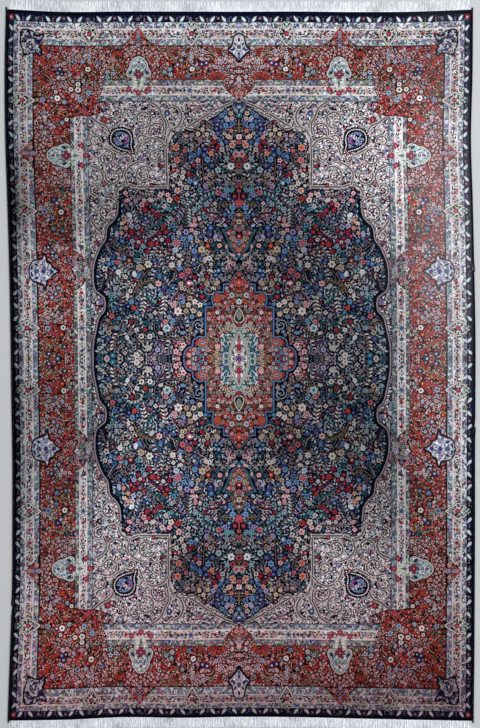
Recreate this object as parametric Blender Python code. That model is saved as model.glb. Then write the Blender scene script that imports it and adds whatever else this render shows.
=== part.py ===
"""A room-size hand-knotted Persian rug, lying flat, pile up.

Five pieces, as a weaver and a finisher leave them: the pile and its foundation in one slab,
an overcast cord (the selvedge) along each long side, and at each end the cotton warps,
knotted against the pile and hanging out as a fringe. Metres, +Z up, +Y along the rug.
The rug rests on z = 0 with the middle of its whole box over the origin.
"""

import math
import random

import bmesh
import bpy
import numpy as np

# Driving sizes
PILE_WIDTH = 2.70            # across, from the outer edge of one selvedge to the other
PILE_LENGTH = 4.10           # along, from one pile end to the other
PILE_THICKNESS = 0.010       # foundation and clipped pile together
PILE_EDGE_ROUNDING = 0.0025  # how far the clipped pile rounds over at its top edge

SELVEDGE_DIAMETER = 0.010
SELVEDGE_TAIL = 0.012        # the corded ends stand out past the pile

FRINGE_LENGTH = 0.066        # from the pile to the tips
FRINGE_LENGTH_SPREAD = 0.005
FRINGE_HEADING = 0.012       # the knotted strip against the pile
FRINGE_THICKNESS = 0.004
TASSEL_PITCH = 0.018
TASSEL_ROOT_WIDTH = 0.0105
TASSEL_TIP_WIDTH = 0.0065
TASSEL_LEAN = 0.010          # sideways drift of the tips, in slow waves along the end
TASSEL_LEAN_WAVES = 7
TASSEL_JITTER = 0.0012

SEAT_GAP = 0.0003            # between pieces that touch
STEP_ALONG_EDGE = 0.06       # spacing of the points along an edge

# How far the long sides stand off straight lines, in millimetres.
# A rug woven by hand narrows, widens and bows a little.
# Columns: place up from the middle, left side to the right by, right side to the right by.
SIDE_DRIFT_MM = (
    (2046, -19, -6),
    (1675, -26, -9),
    (1304, -22, -18),
    (933, -10, -7),
    (561, 1, 1),
    (190, 8, 8),
    (-181, 13, 8),
    (-552, 19, 6),
    (-923, 19, 6),
    (-1295, 17, 4),
    (-1666, 5, 2),
    (-2025, -8, -2),
)

# How far the two ends stand off straight lines, in millimetres.
# Columns: place to the right of the middle, top end up by, bottom end up by.
END_DRIFT_MM = (
    (-1344, 13, -14),
    (-1007, -3, -9),
    (-671, -1, 6),
    (-334, -1, 2),
    (2, -2, 8),
    (338, -1, 6),
    (675, -4, -2),
    (1011, -2, -9),
    (1324, 10, -15),
)

# Colours (linear) of the pile as a whole, the navy overcasting and the bleached cotton
PILE_COLOUR = (0.20, 0.07, 0.07, 1.0)
SELVEDGE_COLOUR = (0.006, 0.008, 0.026, 1.0)
COTTON_COLOUR = (0.72, 0.72, 0.73, 1.0)


def smooth_line(stations, values, place):
    """The height of a smooth curve through the stations, read at one place."""
    order = np.argsort(stations)
    stations = np.asarray(stations, float)[order]
    values = np.asarray(values, float)[order]
    slopes = np.gradient(values, stations)
    place = min(max(place, stations[0]), stations[-1])
    low = int(np.clip(np.searchsorted(stations, place) - 1, 0, len(stations) - 2))
    span = stations[low + 1] - stations[low]
    t = (place - stations[low]) / span
    return (
        (2 * t**3 - 3 * t**2 + 1) * values[low]
        + (t**3 - 2 * t**2 + t) * span * slopes[low]
        + (3 * t**2 - 2 * t**3) * values[low + 1]
        + (t**3 - t**2) * span * slopes[low + 1]
    )


def drift(table, column, place):
    """One column of a drift table at a place in metres, as metres."""
    stations = [row[0] / 1000 for row in table]
    values = [row[column] / 1000 for row in table]
    return smooth_line(stations, values, place)


def on_rug(across, along):
    """The real place of a point, given where it would be on a straight-sided rug."""
    share_right = across / PILE_WIDTH + 0.5
    share_up = along / PILE_LENGTH + 0.5
    left = drift(SIDE_DRIFT_MM, 1, along)
    right = drift(SIDE_DRIFT_MM, 2, along)
    top = drift(END_DRIFT_MM, 1, across)
    bottom = drift(END_DRIFT_MM, 2, across)
    x = across + left * (1 - share_right) + right * share_right
    y = along + bottom * (1 - share_up) + top * share_up
    return x, y


def evenly(start, end, step):
    """Numbers from start to end, about a step apart."""
    count = max(2, round(abs(end - start) / step) + 1)
    return [float(value) for value in np.linspace(start, end, count)]


def make_material(name, colour, roughness):
    """A matt wool or cotton finish."""
    material = bpy.data.materials.new(name)
    material.use_nodes = True
    shader = material.node_tree.nodes["Principled BSDF"]
    shader.inputs["Base Color"].default_value = colour
    shader.inputs["Roughness"].default_value = roughness
    shader.inputs["Metallic"].default_value = 0.0
    return material


def flat_piece(name, outline, thickness):
    """A closed slab standing on z = 0, cut to a flat outline."""
    curve = bpy.data.curves.new(name, "CURVE")
    curve.dimensions = "2D"
    curve.fill_mode = "BOTH"
    curve.extrude = thickness / 2
    spline = curve.splines.new("POLY")
    spline.points.add(len(outline) - 1)
    for point, (x, y) in zip(spline.points, outline):
        point.co = (x, y, 0, 1)
    spline.use_cyclic_u = True
    return curve_to_mesh(name, curve, thickness / 2)


def curve_to_mesh(name, curve, lift):
    """The curve's shape as a closed mesh object, raised by lift."""
    drawn = bpy.data.objects.new(name + "_drawn", curve)
    bpy.context.scene.collection.objects.link(drawn)
    graph = bpy.context.evaluated_depsgraph_get()
    mesh = bpy.data.meshes.new_from_object(drawn.evaluated_get(graph))
    bpy.data.objects.remove(drawn)
    mesh.name = name
    body = bmesh.new()
    body.from_mesh(mesh)
    bmesh.ops.remove_doubles(body, verts=body.verts, dist=0.00001)
    bmesh.ops.translate(body, verts=body.verts, vec=(0, 0, lift))
    bmesh.ops.recalc_face_normals(body, faces=body.faces)
    body.to_mesh(mesh)
    body.free()
    return bpy.data.objects.new(name, mesh)


def make_pile():
    """The knotted slab between the two selvedges."""
    half_width = PILE_WIDTH / 2 - SELVEDGE_DIAMETER - SEAT_GAP
    half_length = PILE_LENGTH / 2
    outline = []
    for across in evenly(-half_width, half_width, STEP_ALONG_EDGE)[:-1]:
        outline.append(on_rug(across, -half_length))
    for along in evenly(-half_length, half_length, STEP_ALONG_EDGE)[:-1]:
        outline.append(on_rug(half_width, along))
    for across in evenly(half_width, -half_width, STEP_ALONG_EDGE)[:-1]:
        outline.append(on_rug(across, half_length))
    for along in evenly(half_length, -half_length, STEP_ALONG_EDGE)[:-1]:
        outline.append(on_rug(-half_width, along))
    pile = flat_piece("pile", outline, PILE_THICKNESS)
    round_top_edge(pile)
    return pile


def round_top_edge(pile):
    """The clipped pile rounds over all round its top edge."""
    body = bmesh.new()
    body.from_mesh(pile.data)
    top_rim = []
    for edge in body.edges:
        both_high = all(vertex.co.z > PILE_THICKNESS / 2 for vertex in edge.verts)
        one_side = any(abs(face.normal.z) < 0.5 for face in edge.link_faces)
        if both_high and one_side:
            top_rim.append(edge)
    bmesh.ops.bevel(
        body, geom=top_rim, offset=PILE_EDGE_ROUNDING, segments=2, profile=0.5, affect="EDGES"
    )
    body.to_mesh(pile.data)
    body.free()


def make_selvedge(name, side):
    """The overcast cord along one long side: side is -1 for the left, 1 for the right."""
    radius = SELVEDGE_DIAMETER / 2
    half_length = PILE_LENGTH / 2
    across = side * (PILE_WIDTH / 2 - radius)
    route = [on_rug(across, along) for along in evenly(-half_length, half_length, STEP_ALONG_EDGE)]
    first_x, first_y = route[0]
    last_x, last_y = route[-1]
    route.insert(0, (first_x, first_y - SELVEDGE_TAIL))
    route.append((last_x, last_y + SELVEDGE_TAIL))
    curve = bpy.data.curves.new(name, "CURVE")
    curve.dimensions = "3D"
    curve.bevel_depth = radius
    curve.bevel_resolution = 2
    curve.use_fill_caps = True
    spline = curve.splines.new("POLY")
    spline.points.add(len(route) - 1)
    for point, (x, y) in zip(spline.points, route):
        point.co = (x, y, 0, 1)
    return curve_to_mesh(name, curve, radius)


def tassel_tips(count, seed):
    """For each tassel, its length past the pile and how far its tip leans to the right."""
    dice = random.Random(seed)
    phase = dice.uniform(0, math.tau)
    tips = []
    for number in range(count):
        turn = math.tau * TASSEL_LEAN_WAVES * number / count + phase
        wave = 0.6 * math.sin(turn) + 0.4 * math.sin(1.7 * turn + 1.0)
        lean = TASSEL_LEAN * wave + dice.uniform(-TASSEL_JITTER, TASSEL_JITTER)
        length = FRINGE_LENGTH - dice.uniform(0, FRINGE_LENGTH_SPREAD)
        tips.append((length, lean))
    return tips


def make_fringe(name, end, seed):
    """The knotted heading and its tassels: end is 1 for the top, -1 for the bottom."""
    half_width = PILE_WIDTH / 2 - SELVEDGE_DIAMETER - 2 * SEAT_GAP
    pile_end = end * PILE_LENGTH / 2
    outline = []
    for across in evenly(half_width, -half_width, STEP_ALONG_EDGE):
        x, y = on_rug(across, pile_end)
        outline.append((x, y + end * SEAT_GAP))
    count = int(2 * half_width / TASSEL_PITCH)
    spacing = 2 * half_width / count
    for number, (length, lean) in enumerate(tassel_tips(count, seed)):
        middle = -half_width + spacing * (number + 0.5)
        x, y = on_rug(middle, pile_end)
        root_y = y + end * (SEAT_GAP + FRINGE_HEADING)
        tip_y = y + end * length
        outline.append((x - TASSEL_ROOT_WIDTH / 2, root_y))
        outline.append((x + lean - TASSEL_TIP_WIDTH / 2, tip_y))
        outline.append((x + lean + TASSEL_TIP_WIDTH / 2, tip_y))
        outline.append((x + TASSEL_ROOT_WIDTH / 2, root_y))
    return flat_piece(name, outline, FRINGE_THICKNESS)


def centre_over_origin(pieces):
    """Slides the whole rug so that the middle of its box is over the origin."""
    corners = np.array([vertex.co[:2] for piece in pieces for vertex in piece.data.vertices])
    middle = (corners.min(axis=0) + corners.max(axis=0)) / 2
    for piece in pieces:
        for vertex in piece.data.vertices:
            vertex.co.x -= middle[0]
            vertex.co.y -= middle[1]


def make_rug():
    """All five pieces, each with its finish, in one collection."""
    for old in list(bpy.data.objects):
        bpy.data.objects.remove(old)
    wool = make_material("pile_wool", PILE_COLOUR, 0.9)
    overcasting = make_material("selvedge_wool", SELVEDGE_COLOUR, 0.85)
    cotton = make_material("fringe_cotton", COTTON_COLOUR, 0.9)
    finished = (
        (make_pile(), wool),
        (make_selvedge("selvedge_left", -1), overcasting),
        (make_selvedge("selvedge_right", 1), overcasting),
        (make_fringe("fringe_top", 1, seed=4), cotton),
        (make_fringe("fringe_bottom", -1, seed=9), cotton),
    )
    centre_over_origin([piece for piece, _ in finished])
    rug = bpy.data.collections.new("persian_rug")
    bpy.context.scene.collection.children.link(rug)
    for piece, finish in finished:
        piece.data.materials.clear()
        piece.data.materials.append(finish)
        rug.objects.link(piece)


make_rug()
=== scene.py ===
"""The looks of a room-size hand-knotted Persian rug, lying flat and seen from straight above.

The pile is one sheet, and every knot on it is charted: a quarter of the design is drawn on
squared paper by the functions below, a yarn for each knot, and turned over both middle lines.
The two overcast selvedges and the two cotton fringes are grown by Geometry Nodes.
"""

import math

import bpy
import numpy as np
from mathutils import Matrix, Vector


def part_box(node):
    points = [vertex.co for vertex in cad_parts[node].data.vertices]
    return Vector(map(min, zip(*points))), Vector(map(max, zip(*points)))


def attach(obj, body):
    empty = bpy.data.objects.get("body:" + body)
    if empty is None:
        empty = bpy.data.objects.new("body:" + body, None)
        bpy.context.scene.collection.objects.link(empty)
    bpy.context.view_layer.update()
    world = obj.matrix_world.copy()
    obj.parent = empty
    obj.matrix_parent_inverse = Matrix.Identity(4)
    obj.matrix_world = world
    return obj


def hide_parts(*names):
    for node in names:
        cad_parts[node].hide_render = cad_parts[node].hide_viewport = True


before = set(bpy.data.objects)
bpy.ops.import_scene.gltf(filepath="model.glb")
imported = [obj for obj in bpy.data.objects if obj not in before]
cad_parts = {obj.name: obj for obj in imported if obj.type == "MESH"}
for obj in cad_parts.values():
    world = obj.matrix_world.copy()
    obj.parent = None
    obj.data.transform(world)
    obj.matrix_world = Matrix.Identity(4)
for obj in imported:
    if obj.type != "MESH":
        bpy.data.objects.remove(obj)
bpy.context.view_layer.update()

# ------------------------------ the squared paper
# The design is drawn for one quarter of the rug and mirrored about both middle lines.
# Places and sizes in it are in squares of the drawing, counted from the rug's middle.
SQUARE = 0.0058                     # metres
HALF_ACROSS, HALF_ALONG = 231.2, 353.6
KNOTS_ACROSS, KNOTS_ALONG = 500, 768    # in the quarter: 2.7 mm a knot


def listed(text):
    """The rows of a written list, parted by commas: each row's numbers, then its words together."""
    rows = []
    for row in text.split(","):
        cells = row.split()
        words = tuple(cell for cell in cells if cell[0].isalpha())
        numbers = [float(cell) for cell in cells if not cell[0].isalpha()]
        rows.append((*numbers, words) if words else tuple(numbers))
    return rows


def away(x, y, reach, lean):
    """The place at a reach from another, at an angle in degrees."""
    return x + reach * math.cos(math.radians(lean)), y + reach * math.sin(math.radians(lean))


def facing(x, y, outward):
    """Turns places given across and outwards from a motif's middle into the drawing's own."""
    def place(across, depth):
        return (x + across, y + depth) if outward == "up" else (x + depth, y + across)
    return place


def stretches(text):
    """Written lists of places, parted by semicolons."""
    return [listed(part) for part in text.split(";")]


def named(yarns):
    """The yarns of a written list, in order."""
    return yarns.split() if isinstance(yarns, str) else yarns


def choices_in(text):
    """What a written list offers: parts between commas or, where it has none, single yarns."""
    return text.split(",") if "," in text else text.split()


# The dyed yarns, each with its colour as sRGB numbers
YARNS = {name: rgb for *rgb, (name,) in listed("""
navy 10 12 29, black 11 9 12, brick 152 58 50, orange 194 72 54, madder 92 32 36, ruby 150 42 62,
rose 176 98 110, blush 212 176 180, ivory 216 206 202, white 234 231 234, cream 200 182 164,
camel 150 126 112, taupe 104 92 92, mauve 160 148 158, mist 176 187 200, sky 108 146 184,
blue 56 88 136, royal 58 54 120, lilac 144 134 176, teal 46 98 114, aqua 138 178 184,
bottle 24 44 38, olive 88 88 62, sage 156 176 150, fig 46 24 42, brown 68 40 32,
grey 116 114 124, peach 200 136 118, petrol 22 46 56, night 28 32 60, plum 100 56 88,
steel 80 88 112
""")}
NUMBER = {name: number for number, name in enumerate(YARNS)}


def smooth(points, steps=8, closed=False):
    """Points along a smooth curve through the given ones."""
    points = [np.array(point, float) for point in points]
    if closed:
        ring = [points[-1], *points, points[0], points[1]]
    else:
        ring = [2 * points[0] - points[1], *points, 2 * points[-1] - points[-2]]
    found = []
    for before, start, end, after in zip(ring, ring[1:], ring[2:], ring[3:]):
        for t in np.arange(steps) / steps:
            found.append(
                0.5 * (2 * start + (end - before) * t
                       + (2 * before - 5 * start + 4 * end - after) * t**2
                       + (3 * start - before - 3 * end + after) * t**3)
            )
    if not closed:
        found.append(points[-1])
    return found


class Chart:
    """The quarter drawing: one yarn number for each knot."""

    def __init__(self):
        self.step_x = HALF_ACROSS / KNOTS_ACROSS
        self.step_y = HALF_ALONG / KNOTS_ALONG
        self.x = (np.arange(KNOTS_ACROSS) + 0.5) * self.step_x
        self.y = (np.arange(KNOTS_ALONG) + 0.5) * self.step_y
        self.knots = np.zeros((KNOTS_ALONG, KNOTS_ACROSS), np.uint8)
        self.worked = np.zeros((KNOTS_ALONG, KNOTS_ACROSS), bool)
        self.within = np.ones((KNOTS_ALONG, KNOTS_ACROSS), bool)

    def window(self, x, y, reach):
        """The knots round a place, and how far each is from it."""
        first_col = max(0, int((x - reach) / self.step_x))
        last_col = max(first_col, min(KNOTS_ACROSS, int((x + reach) / self.step_x) + 2))
        first_row = max(0, int((y - reach) / self.step_y))
        last_row = max(first_row, min(KNOTS_ALONG, int((y + reach) / self.step_y) + 2))
        rows, cols = slice(first_row, last_row), slice(first_col, last_col)
        across, along = np.meshgrid(self.x[cols] - x, self.y[rows] - y)
        return rows, cols, across, along

    def lay(self, rows, cols, where, yarn):
        """Ties the chosen knots of a window in one yarn."""
        where = where & self.within[rows, cols]
        self.knots[rows, cols][where] = NUMBER[yarn]
        self.worked[rows, cols] |= where

    def crowded(self, x, y, reach, room):
        """Whether motifs already take up more than a share of the knots round a place."""
        rows, cols, across, along = self.window(x, y, reach)
        if across.size == 0:
            return True
        round_it = across**2 + along**2 < reach**2
        full = self.worked[rows, cols] | ~self.within[rows, cols]
        return full[round_it].mean() > room if round_it.any() else True

    def box(self, x0, x1, y0, y1):
        """The knots of an upright box."""
        return ((self.x >= x0) & (self.x < x1))[None, :] & ((self.y >= y0) & (self.y < y1))[:, None]

    def inside(self, outline):
        """The knots inside a closed outline."""
        found = np.zeros_like(self.worked)
        for (x0, y0), (x1, y1) in zip(outline, [*outline[1:], outline[0]]):
            if y0 == y1:
                continue
            rows = np.flatnonzero((self.y > min(y0, y1)) & (self.y <= max(y0, y1)))
            crossing = x0 + (self.y[rows] - y0) * (x1 - x0) / (y1 - y0)
            found[rows] ^= self.x[None, :] < crossing[:, None]
        return found

    def fill(self, region, yarn):
        """Ground of one yarn over a region."""
        region = region & self.within
        self.knots[region] = NUMBER[yarn]
        self.worked[region] = False

    def line(self, points, width, yarn):
        """A line of one yarn through the points."""
        for (x0, y0), (x1, y1) in zip(points, points[1:]):
            length = math.hypot(x1 - x0, y1 - y0) or 1e-6
            middle = ((x0 + x1) / 2, (y0 + y1) / 2)
            rows, cols, across, along = self.window(*middle, length / 2 + width)
            ux, uy = (x1 - x0) / length, (y1 - y0) / length
            forward = np.clip(across * ux + along * uy, -length / 2, length / 2)
            off = np.hypot(across - forward * ux, along - forward * uy)
            self.lay(rows, cols, off < width / 2, yarn)

    def beads(self, points, spacing, radius, yarn):
        """A string of dots of one yarn along the points."""
        run = 0.0
        for (x0, y0), (x1, y1) in zip(points, points[1:]):
            length = math.hypot(x1 - x0, y1 - y0)
            while run < length:
                share = run / length
                self.disc(x0 + (x1 - x0) * share, y0 + (y1 - y0) * share, radius, yarn)
                run += spacing
            run -= length

    def curve(self, points, width, yarn):
        """A smooth line through the points."""
        self.line(smooth(points), width, yarn)

    def disc(self, x, y, radius, yarn):
        """A round dot of one yarn."""
        rows, cols, across, along = self.window(x, y, radius)
        self.lay(rows, cols, across**2 + along**2 < radius**2, yarn)

    def blossom(self, x, y, radius, yarns, petals, turn, depth=0.22):
        """A round flower: yarns are its petals, its heart and, if there is a third, its rim."""
        yarns = named(yarns)
        rows, cols, across, along = self.window(x, y, radius + 1)
        far = np.hypot(across, along)
        lobes = 1 - depth * (0.5 + 0.5 * np.cos(petals * np.arctan2(along, across) + turn))
        if len(yarns) > 2:
            self.lay(rows, cols, far < radius * lobes + 0.5, yarns[2])
        self.lay(rows, cols, far < radius * lobes, yarns[0])
        if len(yarns) > 2 and radius > 1.9:
            between = np.cos(petals * np.arctan2(along, across) + turn) > 0.72
            self.lay(rows, cols, between & (far < radius * lobes), yarns[2])
            self.lay(rows, cols, far < radius * 0.5, yarns[0])
        self.lay(rows, cols, far < radius * 0.38, yarns[1])

    def fan(self, x, y, length, lean, yarns, petals=3):
        """A flower seen from its side: yarns are its petals, its cup and the petals' edge."""
        yarns = named(yarns)
        for petal in range(petals):
            turn = math.radians(lean + 68 * (petal / (petals - 1) - 0.5))
            middle_x = x + length * (0.5 * math.cos(turn) - 0.4 * math.cos(math.radians(lean)))
            middle_y = y + length * (0.5 * math.sin(turn) - 0.4 * math.sin(math.radians(lean)))
            self.leaf(middle_x, middle_y, length, length * 0.34, math.degrees(turn), yarns[0], yarns[2], 0.66)
        self.disc(*away(x, y, -0.34 * length, lean), length * 0.19, yarns[1])

    def leaf(self, x, y, length, width, lean, yarn, rim=None, blunt=0.5, shade=None):
        """A leaf round a place, leaning at an angle in degrees, widest at a share of its length."""
        rows, cols, across, along = self.window(x, y, length / 2 + 1)
        ux, uy = math.cos(math.radians(lean)), math.sin(math.radians(lean))
        share = (across * ux + along * uy) / length + 0.5
        off = along * ux - across * uy
        bent = np.clip(share, 0, 1)
        bent = np.where(bent < blunt, bent / blunt * 0.5, 0.5 + (bent - blunt) / (1 - blunt) * 0.5)
        half = width / 2 * np.sin(np.pi * bent) ** 0.8
        on_leaf = (share > 0) & (share < 1)
        if rim:
            self.lay(rows, cols, on_leaf & (np.abs(off) < half + 0.45), rim)
        self.lay(rows, cols, on_leaf & (np.abs(off) < half), yarn)
        if shade:
            self.lay(rows, cols, on_leaf & (np.abs(off) < half) & (off > 0.1 * width), shade)

    def scroll(self, x, y, radius, turns, start, width, yarn, hand=1):
        """A spiral vine of one yarn, winding in from its outer turn; returns its path."""
        count = int(turns * 26)
        path = []
        for step in range(count + 1):
            share = step / count
            angle = math.radians(start) + hand * share * turns * math.tau
            reach = radius * (1 - share) ** 0.75
            path.append((x + reach * math.cos(angle), y + reach * math.sin(angle)))
        self.line(path, width, yarn)
        return path


class Beds:
    """Beds of flowers of like colour: named places, and seeded ones between them."""

    def __init__(self, beds, seed, count, names, box):
        self.dice = np.random.default_rng(seed)
        places = [(x, y) for x, y, _ in beds]
        self.names = [name for _, _, (name,) in beds]
        for _ in range(count):
            places.append((self.dice.uniform(box[0], box[1]), self.dice.uniform(box[2], box[3])))
            self.names.append(names[int(self.dice.integers(len(names)))])
        self.spots = np.array(places)

    def at(self, x, y):
        """The colour at a place; near a bed's edge it may be the next bed's."""
        x, y = x + self.dice.normal(0, 4.5), y + self.dice.normal(0, 4.5)
        return self.names[int(np.argmin(np.hypot(self.spots[:, 0] - x, self.spots[:, 1] - y)))]


# Flower colourings: petals, heart and, where there is one, a rim
FIELD_FLOWERS = {
    "blue": "steel navy mist, blue mist steel, sky night steel, blue navy sky, royal sky steel",
    "pink": "rose madder blush, mauve ruby ivory, plum rose mauve, blush plum rose",
    "cream": "camel brown cream, cream brown taupe, taupe black camel",
    "red": "ruby black madder, madder rose ruby, ruby plum madder",
    "pale": "mauve night ivory, mist grey white, grey navy mauve, ivory plum taupe",
    "teal": "teal navy aqua, steel aqua mist, petrol aqua teal",
    "violet": "plum lilac mauve, lilac royal mist, fig mauve plum",
    "rust": "brick cream madder, rose brick camel, camel brick peach",
    "dark": "night steel grey, steel navy grey, taupe navy mauve, petrol steel teal",
}
# Leaf colourings: a leaf's one half and its other
FIELD_LEAVES = {
    "blue": "mist steel, steel blue, sky steel",
    "pink": "mauve taupe, blush rose, mist grey",
    "cream": "mist grey, camel taupe, cream camel",
    "red": "mauve plum, grey bottle",
    "pale": "mist grey, ivory mauve, grey taupe",
    "teal": "aqua teal, mist teal",
    "violet": "lilac plum, mist steel",
    "rust": "camel taupe, mauve grey",
    "dark": "steel night, grey taupe, teal petrol",
}
BORDER_FLOWERS = {
    "red": "ruby black rose, madder peach ruby, brick black orange, ruby cream madder",
    "brown": "brown camel black, taupe black camel, brick black brown, madder olive brown",
    "lilac": "mauve bottle blush, lilac night mist, blush plum madder, mauve madder ivory",
    "green": "olive black camel, sage bottle olive, camel bottle brown",
    "pink": "rose madder blush, blush ruby brown, mauve ruby rose",
    "orange": "orange ruby madder, orange cream ruby, ruby orange rose",
}
BORDER_LEAVES = {
    "red": "blush orange rose black",
    "brown": "camel olive brick black",
    "lilac": "blush mist mauve",
    "green": "sage camel olive black",
    "pink": "blush mauve ivory",
    "orange": "peach cream orange black",
}


def patches(chart, region, size, yarns, seed):
    """Ground in irregular patches of several yarns, each about one size across."""
    dice = np.random.default_rng(seed)
    rows, cols = int(HALF_ALONG / size) + 3, int(HALF_ACROSS / size) + 3
    across = (np.arange(cols)[None, :] + dice.random((rows, cols)) - 1) * size
    along = (np.arange(rows)[:, None] + dice.random((rows, cols)) - 1) * size
    chosen = dice.integers(len(named(yarns)), size=(rows, cols))
    home_col = (chart.x / size).astype(int) + 1
    home_row = (chart.y / size).astype(int) + 1
    nearest = np.full(chart.knots.shape, np.inf)
    yarn = np.zeros(chart.knots.shape, int)
    for down in (-1, 0, 1):
        for over in (-1, 0, 1):
            at = np.ix_(home_row + down, home_col + over)
            far = (across[at] - chart.x[None, :]) ** 2 + (along[at] - chart.y[:, None]) ** 2
            closer = far < nearest
            nearest[closer] = far[closer]
            yarn[closer] = chosen[at][closer]
    numbers = np.array([NUMBER[name] for name in named(yarns)])
    region = region & chart.within
    chart.knots[region] = numbers[yarn][region]


# ------------------------------ the design's layout
# Each band's outer edge, across and along from the middle, and its ground
BANDS = listed("""
240 360 edge navy, 229.7 350.5 leaf_band navy, 224.1 343.3 mist_strip mist,
219.6 337.9 outer_rim ivory, 218.8 337 outer_guard ivory, 211.2 328.9 outer_rim_in ivory,
210.4 328.1 aqua_strip mist, 205.2 321.5 red_rim black, 204.6 320.9 red_border brick,
167.8 283 teal_strip grey, 164.1 277.2 inner_rim ivory, 163.4 276.4 inner_guard ivory,
156.6 268.4 inner_rim_in ivory, 155.9 267.5 sea_strip grey, 151.3 262.6 sea_rim steel,
150.5 261.7 spandrel mauve
""")

# The field's edge, from its point down to its side, with each turn as it is drawn
FIELD_EDGE = stretches("""
0 264, 7 258.2, 14.5 252.9, 27 244.7, 40 235.6, 49.5 231.2, 61.5 230.5, 66.5 225.5, 69.5 217.3;
69.5 217.3, 69.5 171.6; 69.5 171.6, 104.5 171.6;
104.5 171.6, 111 174.2, 117 172.4, 120 167, 121 157.4, 122.5 146.2, 127 139.1, 132.5 133, 134.5 120.8,
140 112.7, 146 97.5, 147.7 84.3, 146 71.1, 141 66, 136.2 61, 136.3 49, 142 41.6, 145 29.4, 148 14.2,
148.6 0
""")

# The red border pushes in at each corner of the inner guard
CORNER_EDGE = listed("""
134.1 285, 135.2 272.9, 140.2 262.7, 136.8 255, 137.5 250, 148.3 246.5, 158 246.5, 170 244.5
""")


def joined(parts):
    """One list of points from several smooth stretches that meet."""
    points = []
    for stretch in parts:
        points += smooth(stretch) if len(stretch) > 2 else list(stretch)
    return points


def lay_bands(chart):
    """The grounds of all the bands, outermost first; returns each band's own region."""
    regions = {}
    boxes = [chart.box(0, across, 0, along) for across, along, _ in BANDS]
    boxes.append(np.zeros_like(chart.worked))
    for (_, _, (name, yarn)), whole, inner in zip(BANDS, boxes, boxes[1:]):
        chart.fill(whole, yarn)
        regions[name] = whole & ~inner
    return regions


# ------------------------------ small motifs
def bed_flower(beds, colourings, depth, plain, seen_from_side=0.0):
    """A flower in the colours of the bed it grows in, sometimes unrimmed or seen from its side."""
    def draw(chart, x, y, radius, dice):
        choices = choices_in(colourings[beds.at(x, y)])
        yarns = named(choices[int(dice.integers(len(choices)))])
        size = radius * dice.uniform(0.85, 1.15)
        if dice.random() < seen_from_side:
            chart.fan(x, y, size * 2.1, dice.uniform(0, 360), yarns)
            return
        if dice.random() < plain:
            yarns = yarns[:2]
        chart.blossom(x, y, size, yarns, int(dice.integers(4, 7)), dice.uniform(0, 6), depth)
    return draw


def any_flower(colourings):
    """A flower in any of the colourings."""
    choices = choices_in(colourings)

    def draw(chart, x, y, radius, dice):
        yarns = choices[int(dice.integers(len(choices)))]
        chart.blossom(x, y, radius * dice.uniform(0.85, 1.15), yarns, 5, dice.uniform(0, 6), 0.3)
    return draw


def any_dot(yarns):
    """A knot or a few in any of the yarns."""
    choices = choices_in(yarns)

    def draw(chart, x, y, radius, dice):
        chart.disc(x, y, radius, choices[int(dice.integers(len(choices)))])
    return draw


def clear_places(chart, region, tries, seed):
    """Random places among the region's bare knots, with the dice that found them.

    Tries are a whole number, or with a decimal point how many there are for each square.
    """
    dice = np.random.default_rng(seed)
    if isinstance(tries, float):
        tries = int(region.sum() * chart.step_x * chart.step_y * tries)
    places = np.argwhere(region & ~chart.worked & chart.within)
    if len(places):
        for row, col in places[dice.integers(len(places), size=tries)]:
            if not chart.worked[row, col]:
                yield chart.x[col], chart.y[row], dice


def sow(chart, region, draw, radius, tries, seed, gap=0.3):
    """Small motifs wherever there is a clear place in the region."""
    for x, y, dice in clear_places(chart, region, tries, seed):
        if not chart.crowded(x, y, radius + gap, 0.06):
            draw(chart, x, y, radius, dice)


def drift(x, y):
    """The way that leaves lie at a place, in degrees: it turns slowly over the drawing."""
    return 100 * math.sin(x / 8.5 + 1.4 * math.sin(y / 12)) + 90 * math.cos(y / 9.5 - x / 21)


def strew(chart, region, yarns, length, width, tries, seed, gap, stray=40):
    """Slim leaves that lie the way the drawing drifts; yarns are a list, or its bed's list."""
    for x, y, dice in clear_places(chart, region, tries, seed):
        lean = drift(x, y) + dice.uniform(-stray, stray)
        long = length * dice.uniform(0.7, 1.2)
        ux, uy = math.cos(math.radians(lean)), math.sin(math.radians(lean))
        spots = [(x + share * long * ux, y + share * long * uy) for share in (0, -0.36, 0.36)]
        if any(chart.crowded(*spot, width / 2 + gap, 0.04) for spot in spots):
            continue
        choices = choices_in(yarns(x, y) if callable(yarns) else yarns)
        half, *other_half = choices[int(dice.integers(len(choices)))].split()
        chart.leaf(x, y, long, width, lean, half, shade=other_half[0] if other_half else None)


def spray(chart, points, yarn, leaf_yarns, leaf_length, spacing, width):
    """A stem with leaves in pairs along it."""
    leaf_yarns = named(leaf_yarns)
    path = smooth(points, steps=10)
    chart.line(path, width + 0.7, "black")
    chart.line(path, width, yarn)
    run = 0.0
    for (x0, y0), (x1, y1) in zip(path, path[1:]):
        run += math.hypot(x1 - x0, y1 - y0)
        if run < spacing:
            continue
        run = 0.0
        heading = math.degrees(math.atan2(y1 - y0, x1 - x0))
        for side in (1, -1):
            lean = heading + side * 50
            spot = away(x1, y1, leaf_length / 2 + width / 2, lean)
            half = leaf_yarns[0] if side > 0 else leaf_yarns[-1]
            chart.leaf(*spot, leaf_length, leaf_length * 0.44, lean, half)


# ------------------------------ the bands
LEAF_STATIONS_ACROSS = (-4.5, 47.5, 99.7, 149.7, 201, 253)
LEAF_STATIONS_ALONG = (-27, 30.6, 92.5, 149.3, 205.5, 262.3, 316.7, 371)
LEAF_SHARES = (0.17, 0.38, 0.59, 0.80)


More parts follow.
